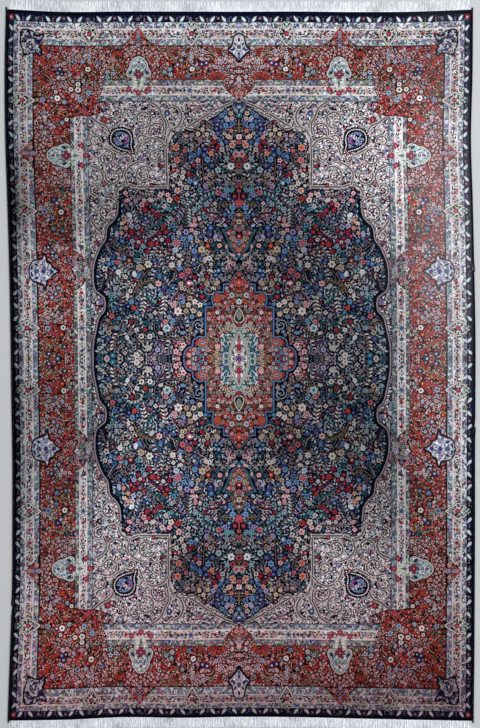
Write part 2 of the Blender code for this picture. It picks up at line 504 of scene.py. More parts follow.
def knot_leaf_band(chart, region):
    """White leaves leaning to and fro on navy, with small rosettes between them."""
    chart.within = region
    middle_across, middle_along = 226.9, 346.9      # of the band itself
    for number, stations in enumerate((LEAF_STATIONS_ACROSS, LEAF_STATIONS_ALONG)):
        for start, end in zip(stations, stations[1:]):
            def at(share):
                place = start + share * (end - start)
                return (place, middle_along) if number == 0 else (middle_across, place)
            for step, share in enumerate(LEAF_SHARES):
                x, y = at(share)
                if x > middle_across + 0.1 or y > middle_along + 0.1 or min(x, y) < -3:
                    continue
                lean = 127 if step % 2 == 0 else 53
                chart.leaf(x, y, 7, 3.1, lean, "mist", blunt=0.3)
                chart.leaf(x, y, 4.6, 1.1, lean, "white", blunt=0.3)
                for side in (-1, 1):
                    chart.leaf(*away(x, y, 2.6, lean + side * 70), 2.8, 1, lean + side * 25, "petrol")
            for step, share in enumerate((0.275, 0.485, 0.695, 0.90, 0.02)):
                x, y = at(share)
                if min(x, y) < -3 or x > 222 and number == 0 or y > 341 and number == 1:
                    continue
                if step == 1:
                    chart.blossom(x, y + 0.6, 1.9, "plum mauve", 5, 0.4)
                elif step == 4:
                    chart.blossom(x, y, 1.8, "grey teal", 4, 0.4)
                else:
                    chart.blossom(x, y + 0.3, 1.5, "royal grey" if step == 0 else "fig mauve", 5, 0.1)
                    chart.disc(x, y - 1.9, 0.55, "mauve")
    # a small square flower turns each corner
    chart.blossom(227, 347.2, 2.9, "ruby blush madder", 4, 0.8, 0.3)
    chart.leaf(226.2, 344.6, 4.6, 1.3, 150, "teal")
    strew(chart, region, "petrol teal plum night steel bottle", 2.8, 1.1, 2600, 11, 0.2)
    sow(chart, region, any_dot("mauve grey plum petrol"), 0.4, 900, 12)
    chart.within = np.ones_like(region)


def knot_strip(chart, region, grounds, flowers, leaves, seed):
    """A narrow strip of small flowers and leaves on a patchy ground."""
    chart.within = region
    patches(chart, region, 2.8, grounds, seed)
    sow(chart, region, any_flower(flowers), 1.6, 0.12, seed + 1, gap=1.3)
    sow(chart, region, any_flower(flowers), 1.1, 0.2, seed + 2, gap=0.7)
    strew(chart, region, leaves, 2.7, 1.1, 1.2, seed + 3, 0.1)
    strew(chart, region, leaves, 1.8, 0.8, 0.8, seed + 4, 0.05)
    chart.within = np.ones_like(region)


STRIP_FLOWERS = """
ruby plum, teal mist, royal mist, rose madder, white plum, plum blush, blue navy, bottle
sage, ivory bottle, white teal
"""
STRIP_LEAVES = "bottle black white petrol plum teal white night"
SEA_FLOWERS = """
ruby madder, blue mist, steel navy, rose madder, ivory plum, teal mist, lilac royal, ivory
teal, bottle sage, plum mist
"""
SEA_LEAVES = "bottle black ivory petrol fig mist teal black"
GUARD_ROSETTES = """
ruby madder, steel night, brick bottle, plum blush, night steel, rose madder, petrol mist,
mauve plum
"""


def knot_guard(chart, region, across, along, spans, seed):
    """An ivory guard: rosettes in a row with dark leaves between them."""
    chart.within = region
    patches(chart, region, 2.4, "ivory cream white taupe mauve white blush mist", seed)
    rosettes = choices_in(GUARD_ROSETTES)
    for number, (reach, first, step) in enumerate(spans):
        for count, place in enumerate(np.arange(first, reach, step)):
            x, y = (place, along) if number == 0 else (across, place)
            yarns = rosettes[(count * 3 + number) % len(rosettes)]
            chart.blossom(x, y, 2.5, yarns, 5, count, 0.45)
            for side in (-1, 1):
                spot = (x + side * 3.8, y) if number == 0 else (x, y + side * 3.8)
                chart.leaf(*spot, 3.6, 1.5, 90 * number + side * 38, "black")
    strew(chart, region, "black bottle black fig", 4.2, 1.7, 0.3, seed + 4, 0.4)
    small = "rose madder, ruby black, plum ivory, steel night, madder ivory"
    sow(chart, region, any_flower(small), 1.4, 0.2, seed + 1, gap=0.8)
    strew(chart, region, "black bottle black fig", 3.4, 1.5, 1.6, seed + 2, 0.3)
    strew(chart, region, "black plum bottle rose grey", 1.7, 0.8, 1.2, seed + 3, 0.2)
    chart.within = np.ones_like(region)


def cross_cartouche(chart, x, y, outward):
    """The pointed cross that breaks the outer guard; outward is "up" or "out"."""
    place = facing(x, y, outward)
    half = ((0, 10.8), (2.2, 9.8), (3, 7.2), (5.8, 5.4), (5.6, 3), (7.6, 1.2), (7.4, -1.6), (5.2, -3.8),
            (4.4, -6), (2.6, -9), (0, -12.4))
    outline = [place(a, d) for a, d in half] + [place(-a, d) for a, d in half[-2:0:-1]]
    body = chart.inside(outline)
    chart.fill(body, "ivory")
    patches(chart, body, 2.0, "ivory white mist bottle white sage blush", 33)
    chart.line(outline + outline[:1], 2.4, "bottle")
    chart.line(outline + outline[:1], 1.2, "ivory")
    chart.blossom(*place(0, -0.5), 2.6, "ruby rose madder", 5, 0.5, 0.35)
    chart.blossom(*place(0, 6), 2.1, "sage teal mist", 4, 0.5)
    chart.blossom(*place(0, -7.2), 1.8, "mauve plum steel", 4, 0.5)
    lean = 0 if outward == "up" else 90
    turn = 1 if outward == "up" else -1
    for side in (-1, 1):
        strokes = ((3.2, 3.2, 40), (5.2, -0.2, 150), (3.9, -3, 30), (2, -5.2, 120), (2, 8, 60))
        for across, depth, angle in strokes:
            chart.leaf(*place(side * across, depth), 3.3, 1.6, lean + turn * side * angle, "black")
    chart.leaf(*place(0, 10.6), 3.4, 2.6, 90 if outward == "up" else 0, "teal", blunt=0.3)
    chart.worked |= body


def palmette(chart, x, y, outward):
    """The lotus flower of the red border, its dome outward and its stem across the inner guard."""
    upright = 90 if outward == "up" else 0
    place = facing(x, y, outward)
    dome = ((0, 14.2), (3.4, 13), (6.6, 9.6), (8.4, 6.4), (8.6, 3.4), (10.6, -0.6), (11.8, -4.6),
            (10.2, -8), (7, -7.4), (5.2, -5))
    foot = ((7, -5), (6.8, -11), (5, -15.6), (2.6, -19), (0, -21.8))
    for outline, grounds in ((foot, "sage mist sage ivory"),
                             (dome, "mist sage aqua mist steel white aqua")):
        right = smooth([place(a, d) for a, d in outline])
        left = smooth([place(-a, d) for a, d in reversed(outline)])
        ring = right + left
        body = chart.inside(ring)
        chart.fill(body, "mist")
        chart.within = body
        patches(chart, body, 2.2, grounds, 31)
        strew(chart, body, "teal white mist sage petrol", 2.8, 1.2, 260, 35, 0.3)
        chart.within = np.ones_like(body)
        chart.worked |= body
    chart.line(ring + ring[:1], 1.9, "bottle")
    chart.line(ring + ring[:1], 0.95, "ivory")
    for side in (-1, 1):
        chart.leaf(*place(side * 8.2, -3.2), 6, 3.2, upright + side * 35, "petrol", rim="mist", blunt=0.5)
        chart.leaf(*place(side * 6, 4), 4.2, 1.4, upright + side * 30, "teal", rim="ivory")
    chart.blossom(*place(0, 8.2), 1.7, "ruby madder", 4, 0.7)
    chart.blossom(*place(0, 3.4), 1.9, "petrol mist ivory", 5, 0.7)
    # the heart and the stem that runs down from it
    stem = ((2, -9.5), (3.7, -12.5), (3.1, -15.5), (1.7, -18.4), (0, -21))
    for side in (-1, 1):
        chart.curve([place(side * a, d) for a, d in stem], 0.8, "ivory")
    for across, depth, radius in ((0, -7.8, 2.8), (-2.9, -4.9, 2.2), (2.9, -4.9, 2.2), (0, -2.2, 2)):
        chart.blossom(*place(across, depth), radius, "ruby plum fig", 4, 0.7, 0.35)
    chart.leaf(*place(0, -14.5), 6, 2.4, upright, "bottle")
    chart.leaf(*place(0, -14.5), 3.6, 0.8, upright, "sage")
    for across, depth in ((-10, -20.6), (10, -20.6), (0, -24.6)):
        chart.blossom(*place(across, depth), 3.1, "ruby rose black", 6, 0.2, 0.4)
    for across in (-12.5, 12.5):
        chart.blossom(*place(across, -27.5), 2, "mist teal", 5, 0.3)
        chart.blossom(*place(across * 0.9, -23.9), 1.5, "steel mist", 5, 0.3)
    # a swag of small pink flowers over the dome
    for across, depth in ((-13, 17.5), (-10.4, 20), (-7.2, 21.6), (-3.6, 20.2), (0, 22.2), (3.6, 20.2),
                          (7.2, 21.6), (10.4, 20), (13, 17.5), (-11.4, 15.4), (-8.2, 17.6), (-4.6, 16.6),
                          (0, 18.2), (4.6, 16.6), (8.2, 17.6), (11.4, 15.4)):
        chart.blossom(*place(across, depth), 1.5, "blush brick brown", 5, across, 0.4)


def red_bulge(chart, x, y, outward, depth):
    """The red border swells out through the outer guard to a point; returns the swelling."""
    def place(across, down):
        return (x + across, y - down * depth) if outward == "up" else (x - down * depth, y + across)
    half = ((0, 0), (3.2, 0.22), (6.4, 0.42), (9.4, 0.64), (12.6, 0.84), (16.8, 1))
    body = chart.inside([place(a, d) for a, d in half] + [place(-a, d) for a, d in half[:0:-1]])
    chart.fill(body, "brown")
    for side in (-1, 1):
        arm = ((0.4, 0.1), (2.8, 0.36), (4.8, 0.56), (7, 0.9))
        chart.line([place(side * a, d) for a, d in arm], 0.8, "orange")
        chart.blossom(*place(side * 2.2, 0.72), 1.7, "plum black mauve", 5, 0.3)
        chart.blossom(*place(side * 6.2, 0.84), 1.4, "mauve brown blush", 5, 0.3)
    for down, radius in ((0.28, 1.3), (0.48, 1.7), (0.98, 1.8)):
        chart.blossom(*place(0, down), radius, "lilac steel mauve", 5, 0.3)
    return body


def blue_cartouche(chart, outline, strokes, seed, grounds, darks):
    """A scalloped cartouche, dark outlined, pale inside with blue and violet strokes."""
    ring = smooth(outline, closed=True)
    body = chart.inside(ring)
    chart.within = body
    chart.fill(body, "mist")
    patches(chart, body, 1.8, grounds, seed)
    chart.beads(ring, 3, 0.9, "mist")
    for x, y, length, width, lean, yarns in strokes:
        for side in (1, -1):
            chart.leaf(side * x, y, length, width, lean if side > 0 else 180 - lean, *yarns)
    strew(chart, body, "white mist cream white", 2.6, 1.0, 500, seed + 3, 0.35)
    strew(chart, body, darks, 3.0, 1.3, 1400, seed + 2, 0.2)
    chart.within = np.ones_like(body)
    chart.line(ring + ring[:1], 1.5, "navy")
    chart.worked |= body


# The strokes in each cartouche: place, length, width, lean, yarn and rim
CORNER_STROKES = listed("""
209.5 330 6.5 2.2 150 royal navy, 202 325 6.5 2.2 60 night royal, 210 321 6 2.6 100 steel navy,
206 315.5 5 2 30 royal navy, 213.5 327 4.5 1.8 70 plum navy, 198.5 330 4 1.4 160 royal white,
200 315.5 4.5 1.5 110 navy white, 212.5 314.5 4.5 1.5 100 night white
""")
END_STROKES = listed("""
0.2 327.5 6 3 90 night white, 4 323 5 1.8 60 navy mist, 0.2 319.5 4.6 2.6 90 steel night,
5.6 317 5 1.8 130 royal navy, 0.2 312 5 2.4 90 night lilac, 3.6 312 3.4 1.2 50 navy white
""")
SIDE_STROKES = listed("""
205.5 88.7 5.6 4.4 0 steel navy, 198.2 88.7 5.2 4.2 90 royal lilac, 190 88.7 4.2 3 0 royal navy,
210 92.2 4.6 1.8 110 royal navy, 210 85.2 4.6 1.8 70 royal navy, 205.4 95.4 5 2.6 30 night mist,
205.4 82 5 2.6 150 night mist, 198 96.2 5.2 2 95 lilac plum, 198 81.2 5.2 2 85 lilac plum,
193.6 92.6 4 1.5 130 navy white, 193.6 84.8 4 1.5 50 navy white
""")


# ------------------------------ the red border
# The flowers that stand out: place, radius and colouring
RED_FLOWERS = listed("""
150.1 295.1 2.6 ivory black, 180.5 264.7 2.7 white black brick, 160 278.9 2.3 ivory taupe,
160 273.4 2.8 ivory black, 167 273.9 2.3 ivory olive, 179 149 2.5 ivory black,
163.5 303.7 2 blue night mist, 155.5 303.7 2 blue ivory mist, 149.4 270.2 2.2 sky teal mist,
157.8 263.2 2.2 sky blue mist, 195.1 262.7 2.2 royal sky mist, 196 149.5 2.4 blue royal mist,
173.3 260.9 2.2 mist grey, 170 265.6 2 ruby orange, 130.6 291.8 2.4 mist teal,
125 290.1 2.4 mist blue, 130.6 286 2.4 aqua teal, 196.5 235.4 2.1 mist rose,
148.8 313 1.5 blue royal ivory, 148.8 308.4 1.9 royal sky ivory, 148.8 303.6 1.4 blue royal ivory,
47.3 313 1.5 royal sky ivory, 47.3 308.4 1.9 royal mist ivory, 47.3 303.6 1.4 blue royal ivory,
46.5 295.2 2.5 ivory grey, 51 287.6 2.3 sky teal, 37 300.5 2.2 royal mist, 32.5 302 2.2 royal ivory,
61 300 1.9 lilac ivory, 57.5 305 1.8 mist royal, 68 289 2.4 mist grey, 68.5 295 2.3 aqua grey,
74 292 2.2 aqua teal, 139 302 2.1 lilac royal, 141 299 1.8 lilac mist, 187 280 1.7 mist royal,
182 271 1.8 ivory royal, 186 265 1.6 sky ivory, 178 295 2.2 royal mist, 176 290 2 night mist,
180 291 1.8 blue mist, 168 300 1.6 mauve royal, 165 282 1.7 mist night, 188 203.8 1.5 mauve madder,
176 240 2 mist teal, 171.5 243 2 ivory rose, 186 161.5 2.3 royal lilac, 183 158 1.9 lilac ivory,
187.5 143 2 sky royal, 187 132 2.1 sky blue, 178 130 1.8 sky teal, 168 172 2.2 royal mist,
176.5 172 1.9 teal bottle, 179 31.5 2.5 ivory black, 195 30.5 2.3 blue royal ivory,
173 28 2 mauve lilac, 180.5 24.5 2.1 orange peach, 194 5 2 blue ivory, 185 0 2.4 blue ivory,
178 12 1.8 teal ivory, 184 47 1.8 mist blue, 187 38 1.8 mist teal, 166 91 2.4 white rose,
157 91 2.2 lilac royal, 151.5 91 1.9 rose ruby, 172 100 1.9 lilac plum,
172 82 1.9 blush plum, 190 62 2.2 lilac mist, 186 66 1.9 sky mist, 183.5 72 1.7 mist royal,
192.5 113 2 blue ivory, 188.5 108 1.8 sky mist, 185 104 1.7 mist royal
""")
# White and buff leaves that curl through the red: ends, and how far the middle bows
RED_CURLS = stretches("""
146.5 291.5, 142.5 287, 142 283.5; 170 283.5, 168 279.5, 163.5 277.5; 171.5 251.5, 176 249, 173 246.5;
187 250.5, 184 254, 180 257.5; 140.5 296, 144.5 300.5, 145.5 306; 43 292, 49 289.5, 52.5 293.5;
55 296, 52 300, 52 305.5; 33 310, 28.5 309.5, 25.5 306; 186 308, 181.5 305.5, 176 304.5;
193 289, 188 285, 187 280; 191 136, 185.5 137.5, 182 142; 196 207, 190 199, 192 190
""")


RED_BEDS = listed("""
157 91 lilac, 152 95 pink, 165 99 lilac, 165 83 pink, 172 91 lilac, 178 98 orange, 178 84 orange,
160 106 pink, 160 76 pink, 154 86 green, 170 108 red, 170 74 red, 99 316 pink, 90 314 pink,
109 314 pink, 199 207 pink, 197 217 pink, 197 197 pink, 0 290 lilac, 0 277 pink, 6 272 brown,
12 279 pink, 185 270 orange, 178 255 orange, 190 285 red, 150 262 orange, 180 232 pink, 190 237 lilac,
178 184 lilac, 191 180 pink, 183 168 green, 194 152 lilac
""")


def knot_red_border(chart, region):
    """A thicket of small flowers on brick red, round the flowers that stand out."""
    chart.within = region
    patches(chart, region, 1.7, "madder brick brown black bottle madder brown", 51)
    for x, y, radius, yarns in RED_FLOWERS:
        petals, heart, rim = (*yarns, "black")[:3]
        radius *= 1.08
        if petals in ("ivory", "white"):
            chart.disc(x, y, radius + 0.6, rim)
            chart.blossom(x, y, radius, (petals, heart), 5, x, 0.12)
        else:
            chart.blossom(x, y, radius, (petals, heart, rim), 5, x, 0.34)
    for curl in RED_CURLS:
        chart.curve(curl, 1.9, "black")
        chart.curve(curl, 0.8, "peach")
    mixed = ("red",) * 5 + ("brown",) * 4 + ("lilac",) * 3 + ("green",) * 2 + ("pink",) * 2 + ("orange",) * 2
    beds = Beds(RED_BEDS, 50, 190, mixed, (0, 206, 0, 322))
    dots = "cream blush mauve camel orange lilac grey sage ivory"
    flecks = "brick orange brick orange ruby orange camel mauve olive peach cream"
    sow(chart, region, bed_flower(beds, BORDER_FLOWERS, 0.4, 0.2, 0.3), 1.5, 0.06, 52, gap=0.9)
    strew(chart, region, lambda x, y: BORDER_LEAVES[beds.at(x, y)], 2.8, 1.05, 0.3, 57, 0.35)
    sow(chart, region, bed_flower(beds, BORDER_FLOWERS, 0.4, 0.2), 1.1, 0.1, 58, gap=0.85)
    strew(chart, region, "cream camel blush mist ivory", 2.4, 0.95, 0.3, 59, 0.45)
    strew(chart, region, "bottle black fig night", 3.2, 1.5, 0.16, 60, 0.0)
    strew(chart, region, flecks, 3.0, 1.2, 1.3, 53, 0.4)
    sow(chart, region, any_dot(dots), 0.6, 0.4, 54, gap=0.45)
    strew(chart, region, lambda x, y: BORDER_LEAVES[beds.at(x, y)], 1.7, 0.8, 0.7, 55, 0.35)
    strew(chart, region, "brick orange taupe brick black", 1.4, 0.7, 0.5, 56, 0.3)
    chart.within = np.ones_like(region)


CROSSING_FLOWERS = listed("""
156.5 96.5 2 mist teal bottle, 156 84 2.1 teal sage cream, 151.6 80 2.4 teal petrol cream,
151 97 1.7 rose ruby black, 160.5 102 1.8 lilac plum black, 160.5 76 1.8 blush ruby black
""")


def knot_crossing(chart, region):
    """Where the red border crosses the inner guard, halfway along: lilac, pink and green on madder."""
    chart.within = region | (chart.box(148, 153.5, 70, 108) & ~chart.worked)
    patches(chart, region, 1.6, "madder plum brown rose bottle mauve brick black", 47)
    for x, y, radius, yarns in CROSSING_FLOWERS:
        chart.blossom(x, y, radius, yarns, 5, x, 0.35)
    flowers = """
        mauve ruby ivory, rose madder blush, sage bottle grey, lilac plum mist, blush
        brown rose, teal black aqua
    """
    sow(chart, region, any_flower(flowers), 1.3, 400, 48, gap=0.8)
    strew(chart, region, "blush black mauve ruby sage bottle", 2.4, 1.0, 1500, 49, 0.2)
    strew(chart, region, "ivory black rose brick", 1.5, 0.75, 1200, 46, 0.1)
    chart.within = np.ones_like(region)


# ------------------------------ the spandrels
# Scrolls: middle, outer radius, turns, the angle each starts at, and which way it winds
SCROLLS = listed("""
48.8 241.4 9 1.4 200 1, 96.2 243.6 9.6 1.5 250 -1, 133.7 204.3 9.2 1.5 90 1, 95 186.5 9.8 1.5 150 -1,
132 150.5 14 1.7 80 1, 80 231.5 10.2 1.2 340 1, 125 185.3 9 1.3 20 -1, 106 251.3 6 1.2 300 1,
144 220.8 6.2 1.4 180 -1, 84 205.6 6.2 1.3 100 -1, 143.5 172 6.5 1.4 270 1, 111 203 6 1.2 40 1,
26 252 4.6 1.2 200 1, 140 123 5.5 1.2 60 -1, 97 222 5.4 1.3 140 -1, 121 250 5 1.1 90 1
""")
SPANDREL_ARCS = stretches("""
1 262, 16 256.5, 34 246.5, 50 236.5, 60 235.5, 67 232.5, 72 224;
72 224, 72.6 205, 72.4 190, 72.2 174.5; 72.2 174.5, 88 174.4, 104 174.6;
104 174.6, 112 177, 120.5 174, 124 166; 66 258, 60 254, 57 246, 59.5 238, 64 233.5;
88 261, 80 255, 76 246, 72.5 238, 73.5 228; 73 215, 80 222, 90 224, 98 218, 102 208;
106 196, 112 204, 122 210, 132 214, 142 212; 112 177.5, 114 188, 108 196, 100 200;
148 246, 140 240, 132 236, 128 228; 148 196, 140 192, 136 184, 141 172;
148.5 140, 144 133, 139 128, 138 118, 143 110
""")
BOTEH = listed("""
105.7 209.5, 107.6 216.5, 107 223.7, 109 229.5, 114.8 233, 122.3 232.4, 126.6 228.4, 127.7 222,
124.8 217, 119 213.4, 112.3 211.6, 105.7 209.5
""")
SPANDREL_FLOWERS = listed("""
71.5 249 2.4 blue mist, 134 243 2.8 ruby rose, 130 241 2.2 rose ivory, 52 247 1.7 plum ivory,
109 209 1.6 ruby ivory, 78 195.5 1.8 ruby bottle, 98 203 2 lilac plum,
94 207 1.8 plum lilac, 128.5 166 1.8 ruby ivory, 135 178 1.8 rose ruby,
143 160 1.8 plum mist, 88 176 1.7 ruby rose, 101 230 2.2 lilac plum, 146 210 1.8 lilac royal,
143 118 1.9 plum ruby, 140 57 2.4 lilac royal, 139.5 63 1.8 teal bottle, 144 52 2 ruby ivory
""")


def knot_spandrel(chart, region):
    """Ivory corners covered in fine taupe scrolls, each with one blue pear-shaped flower."""
    chart.within = region
    patches(chart, region, 2.0, "mauve taupe black grey bottle mauve fig", 61)
    for arc in SPANDREL_ARCS:
        path = smooth(arc)
        chart.line(path, 2.9, "ivory")
        chart.line(path, 1.9, "fig")
        chart.line(path, 0.9, "taupe")
    for x, y, radius, turns, start, hand in SCROLLS:
        path = chart.scroll(x, y, radius, turns - 0.3, start, 2.9, "ivory", hand)
        chart.line(path, 1.9, "fig")
        chart.line(path, 0.9, "taupe")
        for (x0, y0), (x1, y1) in list(zip(path, path[1:]))[3::4]:
            lean = math.degrees(math.atan2(y1 - y0, x1 - x0)) + hand * 48
            chart.leaf(*away(x0, y0, 2, lean), 3, 1.2, lean, "white", "fig")
        chart.blossom(x, y, 1.7, "plum ivory black" if hand > 0 else "camel brown ivory", 5, x)
    boteh = smooth(BOTEH)
    chart.line(boteh, 4.2, "black")
    chart.line(boteh, 0.7, "mauve")
    chart.beads(boteh, 2, 0.55, "white")
    heart = chart.inside(boteh)
    drawn = [NUMBER[name] for name in ("black", "mist", "white")]
    chart.worked[heart] = np.isin(chart.knots[heart], drawn)
    chart.within = heart & ~chart.worked
    patches(chart, heart & ~chart.worked, 2.2, "royal night navy plum blue black", 62)
    flowers = "ruby rose, blue mist, ruby ivory, mist plum, sky royal"
    chart.blossom(116.5, 225, 2.5, "ivory ruby royal", 5, 0.3)
    sow(chart, heart, any_flower(flowers), 1.4, 500, 63, gap=0.5)
    strew(chart, heart, "mist peach madder sky", 1.8, 0.8, 500, 64, 0.1)
    chart.worked |= heart
    chart.within = region
    for x, y, radius, yarns in SPANDREL_FLOWERS:
        chart.blossom(x, y, radius, (*yarns, "black"), 5, x)
    small = """
        rose black, plum ivory, steel ivory, bottle mist, aqua taupe, ruby ivory, lilac plum, teal
        ivory
    """
    sow(chart, region, any_flower(small), 1.3, 0.05, 65, gap=0.8)
    strew(chart, region, "white ivory white blush mist", 3.4, 1.2, 1.0, 66, 0.3)
    strew(chart, region, "black bottle fig black", 2.6, 1.0, 0.7, 67, 0.12)
    strew(chart, region, "white black ivory taupe", 1.8, 0.8, 0.7, 68, 0.1)
    chart.within = np.ones_like(region)


# ------------------------------ the field
FIELD_BEDS = listed("""
46.9 209.9 blue, 36 230 cream, 25.9 218.5 red, 31 203 blue, 61 203 rust, 46.5 190.1 red, 59 182 pale,
48 179 blue, 33 175.4 violet, 45.1 167.5 red, 20.6 168.8 pink, 90 150 red, 77 150 teal,
104.6 149 blue, 113.9 137 cream, 106 166 pink, 95 166 pink, 82 165 pink, 8 195.7 pale, 14 185.5 rust,
12.5 174.4 blue, 7.5 152.5 blue, 56.7 150.6 blue, 64 138 cream, 38 137 pink, 51 125 blue,
28.5 130 blue, 76 134 red, 63 117.6 pink, 88.7 116.4 red, 83.8 107.6 pale, 118 120 blue, 108 128 red,
131 110 dark, 130 94 blue, 117 86 cream, 97 92 cream, 54 83 pink, 68 95 pale, 45.3 109.3 blue,
37.7 110.9 cream, 22 88 blue, 20 112 dark, 58 65 violet, 38 66 red, 46 54 cream, 62 50 pale,
44 34 blue, 74 31 teal, 81.6 13.9 violet, 60 8 pink, 104 4 pale, 128.8 4 teal, 137 24.4 teal,
117.4 33.7 red, 118.5 58 red, 109 58 blue, 129 43 pink, 95 22.7 cream, 98 61 pale, 140 84 dark,
14 226 blue, 20 240 pink, 5 215 pink, 12 182 cream, 22 180 pink, 16 205 teal, 3 245 violet,
52 222 dark, 64 160 violet
""")
# The flowers that stand out in the field: place, radius and colouring
FIELD_BLOOMS = listed("""
62.8 214.5 3.1 orange brick cream, 61.9 201.8 2.9 brick orange blush,
61.7 170.8 2.7 peach ruby ivory, 69.8 161.2 2.6 cream plum ivory, 62.3 162.2 3.2 brick madder,
27.9 208.4 2.9 peach rose, 31.5 202.3 3.2 sky blue, 8 195.7 3.6 white grey, 20.6 168.8 3 rose ruby,
14.5 166 2.6 lilac royal, 6.8 153.4 3 sky blue, 113.9 140.8 2.4 peach camel,
114 132.7 2.4 peach camel, 118.5 127.5 2.4 peach camel, 53.4 128.6 3.3 lilac royal,
49 123 3.2 sky lilac, 56.5 121.5 2.8 sky royal, 28.5 133 3 blue sky, 76.2 134 2.5 brick madder,
63.2 117.6 4 ruby rose mist, 64.3 110.4 3.2 mist sky, 88.7 116.4 3.1 brick ruby,
83 117 2.1 ruby rose, 77.8 120.8 2.1 ivory blue, 91.9 96 3.4 ivory olive sage,
100.6 92.7 3.1 camel grey cream, 81.6 76.2 3.1 blush ruby, 57.8 84.5 3.3 rose ruby,
51.3 88.9 3.2 rose ruby, 50.7 76.7 3.5 rose white, 58.8 76.2 2.5 cream olive,
68 95 3.1 ivory mauve, 60.5 91.6 2.6 sky royal, 45.3 109.3 3 sky blue,
37.7 110.9 3.4 cream taupe camel, 30.1 102.1 2.8 ivory blue, 31.5 114.5 2.3 orange peach,
20.9 89.5 2.5 blue mist, 23.6 85 2.2 blue sky, 19 83.4 2 sky royal, 44.8 58 2.9 ivory camel,
39.6 54.7 2.8 ivory camel, 51.3 54.7 2.8 cream camel, 46.4 48.6 2.8 cream taupe,
40.2 45.3 2.8 cream camel, 62.1 48 3.8 ivory grey blush, 66.5 55.2 3.3 rose mauve ivory,
57 57.4 2.4 sky blue, 67 38.7 2.5 sky blue, 73.5 31 3.7 aqua blue ivory,
56.6 13.9 2.9 blush ruby, 64.3 7.3 2.9 blush ruby, 66.4 -1.5 2.9 blush rose,
104.4 3.4 3.5 ivory mauve, 128.8 3.4 3.4 teal sky, 95.7 29.3 2.4 brick ruby,
99.5 22.7 3 ivory brown, 90.8 22.7 3 ivory olive, 109.3 58 2.8 sky blue, 107.1 51.4 2.5 orange brick,
129.3 43.1 2.8 rose ruby, 122 88 3 ivory aqua, 115 83 2.4 cream taupe, 123 98 2.7 rose ruby,
128 103.5 3 blue petrol, 131.5 96.5 3 blue sky, 118 119.5 2.8 blue sky, 111 124.5 2.2 ruby rose,
12 171.4 2.9 teal sky aqua, 12 203.5 2.6 aqua grey, 0 247.5 2.8 teal aqua steel,
6.3 239 2.4 blue royal sky, 0 225.4 2.7 ivory rose blush, 0 219.8 2.4 rose ruby madder,
6.6 216.8 2.8 peach brick cream, 7.6 231.5 1.9 peach madder rose, 8.6 225 2 cream brick peach,
3.3 211 2.2 teal aqua steel, 6 203 2.4 ruby madder rose, 0 196.6 2.6 ruby black rose,
21 191.8 2.7 aqua teal mist, 0 176.6 1.9 ruby madder rose, 4.4 165 2 ruby rose madder,
0 170.4 2.1 rose ruby madder, 24 225 2.5 peach rose, 11 226 2.6 cream rose,
17.5 218 2.2 mist royal, 36.3 232.8 2.4 cream camel, 40.8 228.5 2.4 cream camel,
31.9 227.7 2.4 cream camel, 7 244 2.2 blush plum, 13 237 2.8 sky blue,
3 208 2.9 rose ruby ivory, 64.1 186.5 2.6 ivory grey, 56.6 184.5 2.6 ivory grey,
59.1 178 2.6 ivory taupe, 49.1 180.5 2.7 sky blue, 43.6 178.4 2.6 sky ivory,
33.1 175.4 3.1 lilac royal
""")
# Stems: the yarn, and the two yarns of the leaves where there are some, then the stem's places
FIELD_STEMS = """
camel: 36.5 203, 36 190, 35.5 181, 33.5 177
camel: 47 188.5, 41 183, 35.5 176.5
camel teal aqua: 37.2 150, 37.8 156, 36 162, 30 165.5, 22 168
camel taupe olive: 20.5 155, 14 156.5, 7.5 157
camel: 82.7 138.5, 77.3 145, 67.5 147.3
camel taupe mist: 50.8 156, 51.6 145, 50.4 134
camel taupe grey: 51.6 112, 52.4 102, 51.6 92
camel mist grey: 77 110, 77.6 100, 74 90
camel: 108.7 61, 104.4 72.3, 96.8 84.5, 91.9 90
camel olive taupe: 106 67, 98 77, 88 79.5, 83 77
camel ivory mist: 76.2 67, 75.5 58, 77 48
camel mist teal: 104 70, 95 67, 88 68.5
camel mist ivory: 98.5 66, 97 58, 98.5 49
camel: 30 112, 24.5 104, 25.5 94
camel mist teal: 119 36, 112 44, 101 42, 97 33
camel: 86.5 37, 85.5 28, 78 21, 66 20
mauve aqua grey: 118 106, 121 98, 117 92, 111 88
camel: 131 117, 124 111, 117 110.5, 113 116
camel ivory mist: 100 10, 95 14, 88 13
camel ivory grey: 121 28, 127 20, 128.5 9
camel: 60 196, 54 200, 52 206
camel olive taupe: 0 243.5, 0.2 236, 0 229.5
camel olive bottle: 0 209.5, 0.2 205, 0 200.5
taupe mauve grey: 5.5 206.4, 14 207.2, 26 205.6
madder: 0 158, 2.6 162.5, 7.5 168.5
rose: 0 158, 0.2 163, 0 168
camel teal mist: 22 200, 16 195, 9 192
mauve grey mist: 136 70, 128 76, 121 82
camel teal grey: 96 128, 90 134, 83 137
"""
FIELD_VINES = listed("""
73.5 31 7.5 0.85 160 camel, 41.2 34 6 1.7 350 mist, 30.7 70 5.5 1.5 200 mist, 67 96 6 0.8 250 camel,
127.5 80 4.6 1.6 100 grey, 104.5 37 6 1.1 20 camel, 36 111 6.2 0.7 300 camel,
64.5 51.5 8 0.8 30 ivory, 117.5 112 6 1.2 180 camel, 8 196 6.6 0.7 200 camel, 57 229 4 1.4 90 grey
""")


